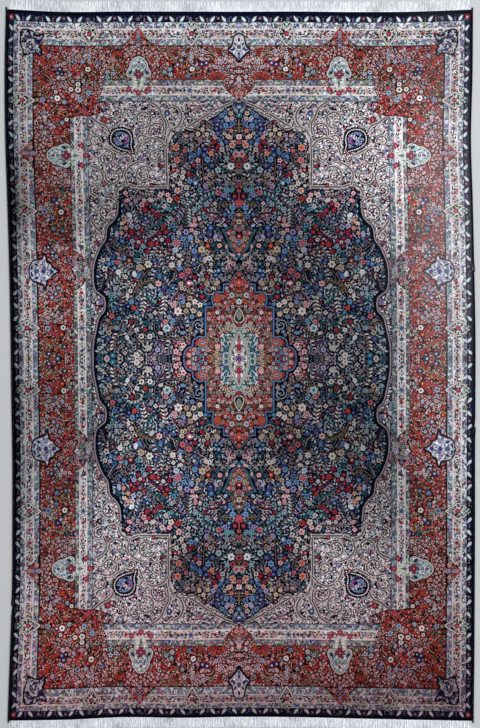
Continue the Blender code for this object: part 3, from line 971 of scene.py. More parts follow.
def knot_field(chart, region):
    """Navy, strewn with flowers in beds of like colours, on thin branching stems."""
    chart.within = region
    patches(chart, region, 4.0, "navy black navy black navy", 71)
    mixed = ("blue", "pale", "dark", "pink") * 3 + ("violet", "teal", "cream") * 2 + ("red", "rust")
    beds = Beds(FIELD_BEDS, 72, 230, mixed, (0, 150, 0, 262))
    for stem in FIELD_STEMS.strip().splitlines():
        yarns, places = stem.split(":")
        (yarn, *leaves), points = yarns.split(), listed(places)
        if leaves:
            spray(chart, points, yarn, leaves, 3.9, 3.3, 0.45)
        else:
            chart.curve(points, 1.3, "black")
            chart.curve(points, 0.45, yarn)
    for x, y, radius, turns, start, (yarn,) in FIELD_VINES:
        chart.scroll(x, y, radius, turns, start, 0.5, yarn)
    for x, y, radius, yarns in FIELD_BLOOMS:
        chart.blossom(x, y, radius * 1.05, yarns, 6 if radius > 2.9 else 5, x, 0.3)
    chart.fan(0, 189, 6.5, 90, "grey bottle taupe", 5)
    chart.fan(0, 157.4, 7.5, 90, "ruby brick rose", 5)
    # stray stems with their leaves, wherever there is room
    for x, y, dice in clear_places(chart, region, 0.006, 70):
        if chart.crowded(x, y, 4.5, 0.02):
            continue
        lean, reach = math.radians(drift(x, y)), dice.uniform(4.0, 6.5)
        bow = dice.uniform(-2.2, 2.2)
        ux, uy = math.cos(lean), math.sin(lean)
        ends = ((x - reach * ux, y - reach * uy), (x - bow * uy, y + bow * ux),
                (x + reach * ux, y + reach * uy))
        halves = choices_in(FIELD_LEAVES[beds.at(x, y)])[0]
        yarn = ("camel", "cream", "grey")[int(dice.integers(3))]
        spray(chart, ends, yarn, halves, 3.7, 3.1, 0.45)
    in_bed = bed_flower(beds, FIELD_FLOWERS, 0.34, 0.15, 0.3)
    # little flowers close round the medallion and its pendants
    around = chart.inside([*((x * 1.12, y * 1.06) for x, y in joined(MEDALLION_EDGE)), (0, 0)])
    around |= chart.inside([(x * 1.35, 127 + (y - 127) * 1.22) for x, y in joined(PENDANT_EDGE)])
    sow(chart, region & around, in_bed, 1.8, 500, 77, gap=0.15)
    sow(chart, region & around, in_bed, 1.3, 700, 69, gap=0.15)
    sow(chart, region, in_bed, 2.2, 0.06, 73, gap=1.0)
    strew(chart, region, lambda x, y: FIELD_LEAVES[beds.at(x, y)], 4.4, 1.9, 0.25, 78, 0.5, 60)
    sow(chart, region, in_bed, 1.6, 0.22, 74, gap=0.85)
    strew(chart, region, lambda x, y: FIELD_LEAVES[beds.at(x, y)], 3.2, 1.6, 0.4, 79, 0.4, 60)
    sow(chart, region, bed_flower(beds, FIELD_FLOWERS, 0.3, 1.0), 1.2, 0.25, 80, gap=0.5)
    strew(chart, region, "blush mist ivory rose", 2.4, 0.95, 0.17, 81, 0.4)
    strew(chart, region, lambda x, y: FIELD_LEAVES[beds.at(x, y)], 2.3, 1.0, 0.5, 75, 0.35)
    strew(chart, region, "petrol bottle taupe fig plum", 2.0, 0.9, 0.4, 76, 0.25)
    chart.within = np.ones_like(region)


# ------------------------------ the medallion and its pendants
MEDALLION_EDGE = stretches("""
0 92.5, 3 87, 7.5 81.5, 10.5 76.5; 10.5 76.5, 16.2 76; 16.2 76, 16.4 67.8;
16.4 67.8, 21 68.6, 26.6 66, 28 60, 26.4 53.2; 26.4 53.2, 34.6 52.6; 34.6 52.6, 34.6 22.4;
34.6 22.4, 41 22.8, 46.6 19.6, 48.2 13; 48.2 13, 52.8 11.2, 56 6.6, 57 0
""")
PENDANT_EDGE = stretches("""
0 101.5, 3.4 106, 8 110.6, 11 117, 13.6 124, 17.8 131.4; 17.8 131.4, 13 132.2, 9.4 134.6;
9.4 134.6, 7.2 140, 4.8 145.6, 0 152.3
""")
MEDALLION_FLOWERS = listed("""
22 47 2.1 white rose madder, 7.3 64.4 2.4 mauve royal ivory, 0 77.4 3.4 orange peach ruby,
0 58 2.7 mist teal ivory, 11.4 50.5 2.4 mauve plum black, 0 85.6 2 rose ruby,
42 6 2.3 sky ruby black, 36.5 9 2 mist teal black, 38.5 3 2 sky navy black,
34 4.6 1.9 mist navy black, 44 1.2 2 steel mist black, 40.6 10.6 1.8 sky navy black,
33.6 12.6 1.8 mist navy black, 46.5 5 1.8 mist royal black, 51 3.6 2.2 mist rose orange,
22 60.5 3.4 orange olive ruby, 22.5 66 1.8 orange brick, 29 30 1.8 cream brown,
27 37 1.7 rose ruby, 30.5 46 1.7 peach brown, 17 42.5 1.8 blush bottle, 12 36 1.9 cream bottle,
6.5 40.5 1.7 mauve ruby, 14 57 1.8 blush ruby, 6.6 53 1.8 mist madder,
5.4 70.5 1.8 ruby camel, 12.4 71.5 2 mist royal black
""")
PENDANT_FLOWERS = listed("""
0 139 2.5 camel olive cream, 0 131 2.6 rose ruby black, 0 124.5 2.5 ruby cream black,
5.5 128 2.2 mauve ruby black, 0 117.5 2.6 sky royal black, 5.8 120.8 2.2 sage bottle black,
0 110.5 2.2 peach brown, 10.4 127.5 2 rose ivory, 0 146 1.6 mist teal, 0 105.6 1.5 ivory royal
""")


def knot_medallion(chart):
    """The red medallion with its pale heart, and the pendant beyond each of its ends."""
    thicket = """
        camel bottle brown, mauve madder black, rose madder blush, grey brown mauve, ruby black
        rose, brick peach madder, taupe olive camel, blush ruby brown
    """
    red = "brick madder brown black ruby bottle madder olive taupe"
    # for each: outline, the stretch at its tip, its flowers, its seed, and its strong outline's yarns
    for parts, at_tip, flowers, seed, (edging, band, beads) in (
        (MEDALLION_EDGE, 0, MEDALLION_FLOWERS, 81, ("night", "blue", "sky")),
        (PENDANT_EDGE, 2, PENDANT_FLOWERS, 82, ("petrol", "teal", "blue")),
    ):
        edge = joined(parts)
        is_medallion = parts is MEDALLION_EDGE
        whole = chart.inside([*edge, (0, 0)] if is_medallion else edge)
        chart.fill(whole, "brick")
        patches(chart, whole, 2.4, red, seed)
        tip = smooth(parts[at_tip])
        chart.line(tip, 2.2, "petrol")
        chart.beads(tip, 2.4, 0.6, "sage")
        strong = joined(parts[:at_tip] + parts[at_tip + 1:])
        chart.line(strong, 3.2, edging)
        chart.line(strong, 2.5, band)
        chart.beads(strong, 2, 0.75, beads)
        core = whole & ~chart.worked
        chart.within = core
        for x, y, radius, yarns in flowers:
            chart.blossom(x, y, radius, yarns, 5, y, 0.32)
        if is_medallion:
            # a mint teardrop in cream outline stands over the heart
            drop = smooth([(0, 51.5), (2.6, 47.5), (4.4, 43), (4.6, 39.5), (2.2, 37), (0, 36.4)])
            chart.line(drop, 2.6, "black")
            chart.line(drop, 1.1, "cream")
            chart.leaf(0, 43.5, 8.4, 3.6, 90, "grey", "sage")
            chart.blossom(0, 38.2, 1.9, "bottle teal", 5, 0.2)
            chart.leaf(0, 34.2, 5, 2.8, 90, "ruby", "bottle", 0.4)
            knot_medallion_heart(chart, core)
        chart.within = core
        sow(chart, core, any_flower(thicket), 1.5, 0.12, 86, gap=0.8)
        strew(chart, core, "black bottle brown madder", 2.8, 1.2, 0.3, 87, 0.15)
        strew(chart, core, "cream blush olive orange mauve rose grey", 2.4, 1.0, 1.0, 88, 0.12)
        chart.within = np.ones_like(whole)
    chart.blossom(0, 98.4, 2.2, "lilac ivory navy", 5, 0.5)


HEART_STROKES = listed("""
6 6.6 4 1.7 60 black, 5.6 3.2 3.2 1.3 20 black, 3.6 12.6 4.4 1.2 100 black, 2.6 3.6 3 1.2 140 ivory,
4.6 9.8 3 1.1 100 ivory, 2.6 17 3.6 1 100 white
""")


def knot_medallion_heart(chart, core):
    """The pale heart: a pointed oval on sea blue, in a shell of cream petals."""
    heart = [(0, 32), (5, 30.5), (10, 27), (14.5, 27.5), (18, 24), (18.6, 18), (17.4, 12),
             (18.6, 6), (17.5, 0)]
    sea = chart.inside([*smooth(heart), (0, 0)]) & core
    chart.fill(sea, "aqua")
    patches(chart, sea, 2.0, "teal mist steel grey petrol aqua sage teal", 82)
    # shells of cream petals at the heart's shoulders and sides
    for x, y, reach, first, last in ((13, 24, 6.4, 20, 150), (17.5, 5, 6, -70, 70)):
        for turn in range(first, last + 1, 22):
            chart.leaf(*away(x, y, reach, turn), 4.8, 1.6, turn, "cream", "brown", 0.6, "camel")
    chart.blossom(21.8, 12.6, 3, "blush peach brown", 6, 0.3, 0.3)
    for x, y in ((6, 34), (10.5, 33.5), (3.6, 30.5)):
        chart.blossom(x, y, 1.9, "mauve plum sage", 5, x)
    # the ringed lobe and its bunch of pale flowers
    chart.blossom(36.8, 16.5, 4.8, "brick brick camel", 8, 0.3, 0.08)
    chart.blossom(36.8, 16.5, 2.6, "mauve madder plum", 6, 0.3, 0.3)
    chart.curve([(31, 19.5), (34, 23), (39, 23.4), (43.5, 20.4)], 1.1, "camel")
    oval = smooth([(0, 26.5), (2.4, 21.5), (5.8, 17.5), (7.4, 12), (9.2, 5), (9.6, 0)])
    middle = chart.inside([*oval, (0, 0)])
    chart.fill(middle, "ivory")
    patches(chart, middle, 2.0, "ivory white black mauve mist plum ivory", 83)
    chart.within = core | middle
    chart.line(oval, 3.8, "sage")
    chart.line(oval, 2.4, "grey")
    chart.beads(oval, 1.7, 0.6, "ivory")
    chart.blossom(0, 0, 2.8, "royal ruby lilac", 6, 0.2)
    chart.leaf(0, 11.5, 7.4, 4.6, 90, "ruby", "fig", 0.4)
    chart.leaf(0, 17.6, 5, 3.2, 90, "rose", "black", 0.4)
    chart.leaf(0, 22.6, 5.4, 1.8, 90, "plum", "grey", 0.3)
    chart.blossom(0, 6.2, 1.9, "cream olive black", 5, 0.4)
    chart.blossom(3.4, 6.4, 1.3, "ivory olive", 5, 0.4)
    chart.blossom(5, 0, 1.9, "black mist ivory", 4, 0.4)
    for x, y, length, width, lean, (yarn,) in HEART_STROKES:
        chart.leaf(x, y, length, width, lean, yarn)
    for y in (3, 9, 15, 21):
        chart.leaf(13.2, y, 5.2, 2.1, 70, "teal", rim="petrol")
    strew(chart, middle, "white black plum", 1.8, 0.8, 400, 84, 0.1)
    strew(chart, sea, "petrol aqua blue sage black ivory", 2.4, 1.1, 700, 85, 0.12)


# ------------------------------ everything, in its order
CORNER_CARTOUCHE = listed("""
216.3 335.2, 206 335, 201 331, 194.6 332.6, 196 328, 199 322.5, 196.4 314, 197 309.6, 201.5 312.2,
206 312, 213.6 309.6, 214.6 314.5, 217.2 322
""")
END_CARTOUCHE = listed("""
0 333.8, 4.8 331, 6 326, 7.4 320.5, 10.6 315.8, 6.6 311.8, 3 308, 0 304.6
""")
SIDE_CARTOUCHE = listed("""
212.8 88.7, 211.8 94.6, 208.5 99.2, 203 100.4, 198.8 102.2, 197.6 106.4, 195.4 102.6, 194.6 98.2,
190.8 96.4, 188.4 92.2, 182.8 88.7, 188.4 85.2, 190.8 81, 194.6 79.2, 195.4 74.8, 197.6 71,
198.8 75.2, 203 77, 208.5 78.2, 211.8 82.8
""")
CROSSING_EDGE = listed("""
170 110.5, 163 108.5, 158 104, 154.5 98.5, 152.6 92.5, 152.8 86, 154.5 81, 158 75, 163 70.5, 170 68.5
""")
APEX_EDGE = listed("0 284, 16.5 284, 15.9 277.5, 11.8 271.5, 6 267, 1.2 262.6, 0 262")


def knot_everything():
    """The whole quarter drawing, in yarns."""
    chart = Chart()
    regions = lay_bands(chart)
    medallion = chart.inside([*joined(MEDALLION_EDGE), (0, 0)]) | chart.inside(joined(PENDANT_EDGE))
    field = chart.inside([*joined(FIELD_EDGE), (0, 0)])
    # where the red border pushes in over the bands inside it
    inside_red = chart.box(0, 167.8, 0, 283)
    corner = chart.inside([*smooth(CORNER_EDGE), (180, 250), (180, 300), (134.1, 300)])
    crossing = chart.inside(CROSSING_EDGE)
    apex = chart.inside(APEX_EDGE)
    pushed_in = (corner | crossing | apex) & inside_red & ~field
    chart.fill(pushed_in, "brick")
    chart.fill(field, "navy")

    knot_leaf_band(chart, regions["leaf_band"])
    # whatever overlies the bands is worked first, so that the fillers keep clear of it
    bulges = red_bulge(chart, 100.3, 339.6, "up", 18.1) | red_bulge(chart, 219.5, 208.4, "out", 14.3)
    mirrored_end = [(-x, y) for x, y in reversed(END_CARTOUCHE[1:-1])]
    deep = "mist navy mauve black steel night grey"
    blue_cartouche(chart, CORNER_CARTOUCHE, CORNER_STROKES, 101, deep, "navy black black royal plum")
    light = "mist lilac mauve mist steel grey white"
    darks = "navy royal night steel black"
    blue_cartouche(chart, SIDE_CARTOUCHE, SIDE_STROKES, 111, light, darks)
    blue_cartouche(chart, (*END_CARTOUCHE, *mirrored_end), END_STROKES, 121, light, darks)
    for x, y in ((149, 333.7), (47.3, 333.7)):
        cross_cartouche(chart, x, y, "up")
    for x, y in ((215.8, 261.9), (216.2, 149.8), (216, 31)):
        cross_cartouche(chart, x, y, "out")
    palmette(chart, 99.7, 294.5, "up")
    palmette(chart, 177.5, 206.5, "out")
    for x, y in ((49, 272.4), (160, 150), (160, 31)):
        chart.blossom(x, y, 5, "ivory royal black", 6, 0.3, 0.2)
        chart.blossom(x, y, 3, "steel royal mist", 6, 0.3, 0.3)

    covered = chart.worked | bulges | pushed_in
    knot_strip(chart, regions["mist_strip"] & ~covered, "mist grey white sage mist steel mist lilac",
               STRIP_FLOWERS, STRIP_LEAVES, 201)
    knot_strip(chart, regions["aqua_strip"] & ~covered, "mist aqua mauve sage grey lilac",
               STRIP_FLOWERS, STRIP_LEAVES, 211)
    knot_strip(chart, regions["teal_strip"] & ~covered, "grey mauve taupe sage steel",
               SEA_FLOWERS, SEA_LEAVES, 221)
    knot_strip(chart, regions["sea_strip"] & ~covered, "grey teal mauve mist sage taupe",
               SEA_FLOWERS, SEA_LEAVES, 231)
    outer = regions["outer_guard"] & ~covered
    knot_guard(chart, outer, 215, 333, ((212, 12.0, 12.2), (325, 12.0, 13.0)), 241)
    inner = regions["inner_guard"] & ~covered
    knot_guard(chart, inner, 160, 272.4, ((133, 24.0, 11.4), (240, 8.0, 11.8)), 251)
    knot_spandrel(chart, regions["spandrel"] & ~field & ~covered)
    knot_crossing(chart, (crossing & inside_red) & ~field & ~chart.worked)
    knot_red_border(chart, (regions["red_border"] | pushed_in | bulges) & ~chart.worked)
    chart.worked[field] = False
    # a soft outline runs down each long side of the field
    side = [point for point in joined(FIELD_EDGE) if point[1] < 160]
    chart.line(side, 4.4, "fig")
    chart.line(side, 3.2, "taupe")
    chart.line(side, 1.7, "mauve")
    knot_medallion(chart)
    knot_field(chart, field & ~medallion)
    return chart


def mirrored(quarter):
    """The whole rug's knots, row 0 at the bottom, column 0 at the left."""
    half = np.concatenate([quarter[:, ::-1], quarter], axis=1)
    return np.concatenate([half[::-1], half], axis=0)


# ------------------------------ the drawing laid on the rug
KNOTS_PER_BLOCK = 4                  # a block is one face of the pile's mesh, 4 by 4 knots
YARN_CODES = 32
AXIS_X, AXIS_Y = -0.0063, 0.0364     # where the drawing's middle lies on the rug, metres
EDGE_ROUNDING = 0.0025
PILE_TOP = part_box("pile")[1][2]
MAP_STRIP = 0.02                     # how much of the flat map lies below the face
MAP_WALLS = 0.9                      # how far across the map the rim and the wall run

# The weaver packed the rows more loosely towards the bottom end.
# Columns: place in the drawing, as woven above the middle, as woven below it, all in squares.
WOVEN_ALONG = listed("""
0 0 0, 262.2 258.2 266.3, 283 278.7 287.3, 321.5 313.7 329.3, 328.5 320 337, 337.4 329.7 345.1,
343.3 336.2 350.3, 350.5 343.7 357.3, 353.6 347.4 359.7
""")

PAINTED_TUFT_SHADE = 0.73                  # painted shade between the tufts: how much of each dye's lightness is left
KNOT_TONES = (0.36, 0.82)          # how far single knots differ in tone, and the deepest one's tone
SLOW_TONES = (0.3, 0.85)           # the same for lots of yarn and for wear
# the pale veil of painted sheen
PALED_WOOL = (186, 184, 188)
TUFT_HEIGHT = 0.0008               # metres
WARM_END = (1.0, 0.74, 0.76, 1.0)  # how much darker and warmer the pile is made at the bottom end
WARM_FROM = -1.0                   # where that begins, metres from the middle
# Where the pile is made lighter (above 0), for fading and painted light, and where it is made darker (below
# 0), as painted shade: place, reach both ways, strength.
FADING_LIGHT_AND_SHADE_SPOTS = listed("""
0.72 1.15 0.4 0.45 0.6, -0.6 -0.95 0.32 0.6 0.55, 0.56 -1.16 0.22 0.24 0.5, 1.1 0.85 0.32 0.85 0.26,
0.42 0.7 0.38 0.38 -0.5, 0.58 -0.22 0.32 0.55 -0.45, 0.27 -0.48 0.15 0.16 -0.35,
-0.3 -1.13 0.15 0.18 -0.35, -0.58 0.17 0.15 0.15 -0.3, 0.85 -0.65 0.2 0.32 -0.3,
-0.88 -0.45 0.2 0.4 -0.3, -0.35 0.1 0.35 0.45 0.3, -0.02 -0.82 0.15 0.15 0.25,
-1.25 0.95 0.22 0.35 -0.3, -1.16 0.5 0.12 0.25 0.2, -1.25 -0.6 0.2 0.4 -0.3,
-1.16 -0.18 0.12 0.15 -0.2, 0 1.15 0.28 0.22 -0.35, 0.05 1.78 0.5 0.14 0.3, -0.75 0.85 0.4 0.25 -0.25,
0.92 0.4 0.07 0.5 -0.25, 1.1 -0.2 0.12 0.45 0.25, 0.15 -1.15 0.5 0.2 -0.2, -0.45 -1.8 0.35 0.1 0.2,
0.1 -1.97 1.5 0.1 -0.4, 1.25 -1.75 0.2 0.5 -0.25, 0.9 -1.85 0.5 0.22 -0.28,
-1.08 -1.62 0.22 0.35 0.15, -0.87 0.5 0.14 0.22 0.18, 0.95 -1.15 0.3 0.25 -0.12, -1.33 0 0.07 2 -0.75,
0.1 2.02 1.4 0.07 0.3
""")
PALE_SPOTS = [(1.16, 0.85, 0.20, 0.80, 0.15)]    # where light on the pile pales it, in the same columns


def rug_outline():
    """The four edges of the pile on the floor, as (place along the edge, place across it)."""
    rim = [tuple(v.co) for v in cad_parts["pile"].data.vertices if v.co.z < 0.0001]
    low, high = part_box("pile")
    sides = {
        "left": sorted((y, x) for x, y, _ in rim if x < low[0] + 0.05),
        "right": sorted((y, x) for x, y, _ in rim if x > high[0] - 0.06),
        "bottom": sorted((x, y) for x, y, _ in rim if y < low[1] + 0.05),
        "top": sorted((x, y) for x, y, _ in rim if y > high[1] - 0.05),
    }
    return {name: np.array(points).T for name, points in sides.items()}


def lay_out(across, along):
    """Where places in the drawing come on the rug, in metres."""
    edges = rug_outline()
    drawn, above, below = np.array(WOVEN_ALONG).T
    up = np.interp(np.abs(along), drawn, above)
    down = np.interp(np.abs(along), drawn, below)
    y = AXIS_Y + np.where(along > 0, up, -down) * SQUARE
    reach = (np.abs(along) / HALF_ALONG) ** 2
    top = np.interp(across * SQUARE, *edges["top"]) - (AXIS_Y + above[-1] * SQUARE)
    bottom = np.interp(across * SQUARE, *edges["bottom"]) - (AXIS_Y - below[-1] * SQUARE)
    y = y + reach * np.where(along > 0, top, bottom)
    left = np.interp(y, *edges["left"])
    right = np.interp(y, *edges["right"])
    share = across / HALF_ACROSS
    x = AXIS_X + np.where(share > 0, share * (right - AXIS_X), share * (AXIS_X - left))
    return x, y


def packed_rows(knots):
    """Each block's four rows of knots, every row as one number."""
    rows, cols = knots.shape
    blocks = knots.reshape(rows // KNOTS_PER_BLOCK, KNOTS_PER_BLOCK, cols // KNOTS_PER_BLOCK, KNOTS_PER_BLOCK)
    place_value = YARN_CODES ** np.arange(KNOTS_PER_BLOCK)
    numbers = (blocks.astype(np.int64) * place_value).sum(axis=3)
    return [numbers[:, row, :].ravel() for row in range(KNOTS_PER_BLOCK)]


def give_faces(mesh, name, values):
    """Writes one value for each block; the rim and the back, which come after them, get 0."""
    filled = np.zeros((len(mesh.polygons), *values.shape[1:]), np.float32)
    filled[: len(values)] = values
    kind, slot = ("FLOAT", "value") if values.ndim == 1 else ("FLOAT_VECTOR", "vector")
    mesh.attributes.new(name, kind, "FACE").data.foreach_set(slot, filled.ravel())


def give_corners(mesh, name, values):
    """Writes a flat place for each corner of each face; corners left over get 0."""
    filled = np.zeros((len(mesh.loops), 2), np.float32)
    filled[: len(values)] = values
    mesh.uv_layers.new(name=name).data.foreach_set("uv", filled.ravel())


def flat_map(cols, rows, rim):
    """A flat place for each corner: the face on top, rim, wall and back in a strip below it."""
    across, along = np.meshgrid(np.arange(cols) / cols, np.arange(rows) / rows)
    corner = np.array([(0, 0), (1 / cols, 0), (1 / cols, 1 / rows), (0, 1 / rows)])
    places = np.stack([across, along], axis=-1).reshape(-1, 1, 2) + corner
    parts = [(places * (1, 1 - MAP_STRIP) + (0, MAP_STRIP)).reshape(-1, 2)]
    count = len(rim)
    step = np.arange(count) / count * MAP_WALLS
    onward = step + MAP_WALLS / count
    for low, high in ((0.001, 0.006), (0.007, 0.012)):
        heights = np.tile([high, low, low, high], (count, 1))
        widths = np.stack([step, step, onward, onward], axis=-1)
        parts.append(np.stack([widths, heights], axis=-1).reshape(-1, 2))
    share = (rim[::-1] - rim.min(axis=0)) / np.ptp(rim, axis=0)
    parts.append(share * (0.05, 0.014) + (0.93, 0.002))
    return np.concatenate(parts)


def make_pile(knots):
    """The knotted sheet: its face in blocks of knots, its rounded rim and its plain back."""
    rows, cols = knots.shape[0] // KNOTS_PER_BLOCK, knots.shape[1] // KNOTS_PER_BLOCK
    across = np.linspace(-HALF_ACROSS, HALF_ACROSS, cols + 1)
    along = np.linspace(-HALF_ALONG, HALF_ALONG, rows + 1)
    x, y = lay_out(*np.meshgrid(across, along))
    edge = np.stack([x, y], axis=-1).reshape(-1, 2)
    x[:, 0] += EDGE_ROUNDING
    x[:, -1] -= EDGE_ROUNDING
    y[0, :] += EDGE_ROUNDING
    y[-1, :] -= EDGE_ROUNDING
    face = np.stack([x, y, np.full_like(x, PILE_TOP)], axis=-1).reshape(-1, 3)

    index = np.arange(len(face)).reshape(rows + 1, cols + 1)
    quads = np.stack([index[:-1, :-1], index[:-1, 1:], index[1:, 1:], index[1:, :-1]], axis=-1)
    ring = np.concatenate([index[0, :-1], index[:-1, -1], index[-1, :0:-1], index[:0:-1, 0]])
    rim = edge[ring]
    shoulder = np.column_stack([rim, np.full(len(ring), PILE_TOP - EDGE_ROUNDING)])
    foot = np.column_stack([rim, np.zeros(len(ring))])
    shoulder_index = len(face) + np.arange(len(ring))
    foot_index = shoulder_index + len(ring)
    faces = quads.reshape(-1, 4).tolist()
    for upper, lower in ((ring, shoulder_index), (shoulder_index, foot_index)):
        faces += np.stack([upper, lower, np.roll(lower, -1), np.roll(upper, -1)], axis=-1).tolist()
    faces.append(foot_index[::-1].tolist())
    mesh = bpy.data.meshes.new("pile_sheet")
    mesh.from_pydata(np.concatenate([face, shoulder, foot]).tolist(), [], faces)
    mesh.shade_smooth()

    for row, numbers in enumerate(packed_rows(knots)):
        give_faces(mesh, f"knots_{row}", numbers)
    block_rows, block_cols = np.divmod(np.arange(rows * cols), cols)
    give_faces(mesh, "block_place", np.column_stack([block_cols, block_rows, 0 * block_rows]))
    middle_x = (x[:-1, :-1] + x[1:, 1:]).ravel() / 2
    middle_y = (y[:-1, :-1] + y[1:, 1:]).ravel() / 2
    # per block: how much the spots of fading with painted light and shade, and the spots of painted sheen,
    # change it
    for name, spots in (("fading_light_and_shade", FADING_LIGHT_AND_SHADE_SPOTS), ("paling", PALE_SPOTS)):
        amount = np.zeros(rows * cols)
        for spot_x, spot_y, reach_x, reach_y, strength in spots:
            far = ((middle_x - spot_x) / reach_x) ** 2 + ((middle_y - spot_y) / reach_y) ** 2
            amount += strength * np.exp(-far)
        give_faces(mesh, name, amount)
    corners = KNOTS_PER_BLOCK * np.array([(0, 0), (1, 0), (1, 1), (0, 1)])
    give_corners(mesh, "knot_in_block", np.tile(corners, (rows * cols, 1)))
    give_corners(mesh, "OFBake", flat_map(cols, rows, rim))

    sheet = bpy.data.objects.new("pile_sheet", mesh)
    bpy.context.scene.collection.objects.link(sheet)
    mesh.materials.append(wool_pile_finish())
    return sheet


# ------------------------------ finishes
def linear(rgb):
    """A colour given as sRGB numbers from 0 to 255, as Blender's linear one."""
    shares = [value / 255 for value in rgb]
    return [s / 12.92 if s <= 0.04045 else ((s + 0.055) / 1.055) ** 2.4 for s in shares] + [1.0]


class Nodes:
    """A tree of nodes and short ways to add to it."""

    def node(self, kind, inputs=(), **settings):
        """A node; inputs pair a socket's name or number with a value or another output."""
        made = self.tree.nodes.new(kind)
        for name, value in settings.items():
            setattr(made, name, value)
        for name, value in dict(inputs).items():
            self.feed(made.inputs[name], value)
        return made

    def feed(self, socket, value):
        """Puts a number, a colour or another node's output into a socket."""
        if isinstance(value, bpy.types.NodeSocket):
            self.tree.links.new(value, socket)
        else:
            socket.default_value = value

    def math(self, operation, *values):
        return self.node("ShaderNodeMath", enumerate(values), operation=operation).outputs[0]

    def total(self, *values):
        found = values[0]
        for value in values[1:]:
            found = self.math("ADD", found, value)
        return found

    def vector(self, x, y, z=0.0):
        return self.node("ShaderNodeCombineXYZ", {"X": x, "Y": y, "Z": z}).outputs[0]

    def noise(self, vector, scale, detail=2.0):
        inputs = {"Vector": vector, "Scale": scale, "Detail": detail}
        return self.node("ShaderNodeTexNoise", inputs).outputs["Fac"]


class Finish(Nodes):
    """A material."""

    def __init__(self, name):
        self.material = bpy.data.materials.new(name)
        self.material.use_nodes = True
        self.tree = self.material.node_tree
        self.shader = self.tree.nodes["Principled BSDF"]

    def dye(self, colour):
        self.feed(self.shader.inputs["Base Color"], colour)

    def read(self, name):
        """What the mesh says under a name, face by face."""
        return self.node("ShaderNodeAttribute", attribute_name=name)

    def place(self):
        return self.node("ShaderNodeTexCoord").outputs["Object"]

    def stretched(self, place, scale):
        return self.node("ShaderNodeMapping", {"Vector": place, "Scale": scale}).outputs["Vector"]

    def toned(self, colour, tone):
        """A colour made lighter or darker by a number."""
        grey = self.node("ShaderNodeCombineColor", enumerate([tone] * 3)).outputs["Color"]
        return self.tint("MULTIPLY", 1.0, colour, grey)

    def tint(self, mode, share, first, second):
        inputs = {"Factor": share, "A": first, "B": second}
        made = self.node("ShaderNodeMix", inputs, data_type="RGBA", blend_type=mode)
        return next(socket for socket in made.outputs if socket.type == "RGBA")

    def ramp(self, value, stops, interpolation="LINEAR"):
        made = self.node("ShaderNodeValToRGB", {"Fac": value})
        made.color_ramp.interpolation = interpolation
        elements = made.color_ramp.elements
        while len(elements) < len(stops):
            elements.new(0.5)
        for element, (place, _) in zip(elements, stops):
            element.position = place
        for element, (_, colour) in zip(elements, stops):
            element.color = linear(colour)
        return made.outputs["Color"]

    def bump(self, height, strength, distance):
        inputs = {"Strength": strength, "Distance": distance, "Height": height}
        made = self.node("ShaderNodeBump", inputs)
        self.feed(self.shader.inputs["Normal"], made.outputs["Normal"])

    def cloth(self, roughness, sheen):
        settings = {"Roughness": roughness, "Sheen Weight": sheen,
                    "Sheen Roughness": 0.5, "Specular IOR Level": 0.02}
        for name, value in settings.items():
            self.shader.inputs[name].default_value = value


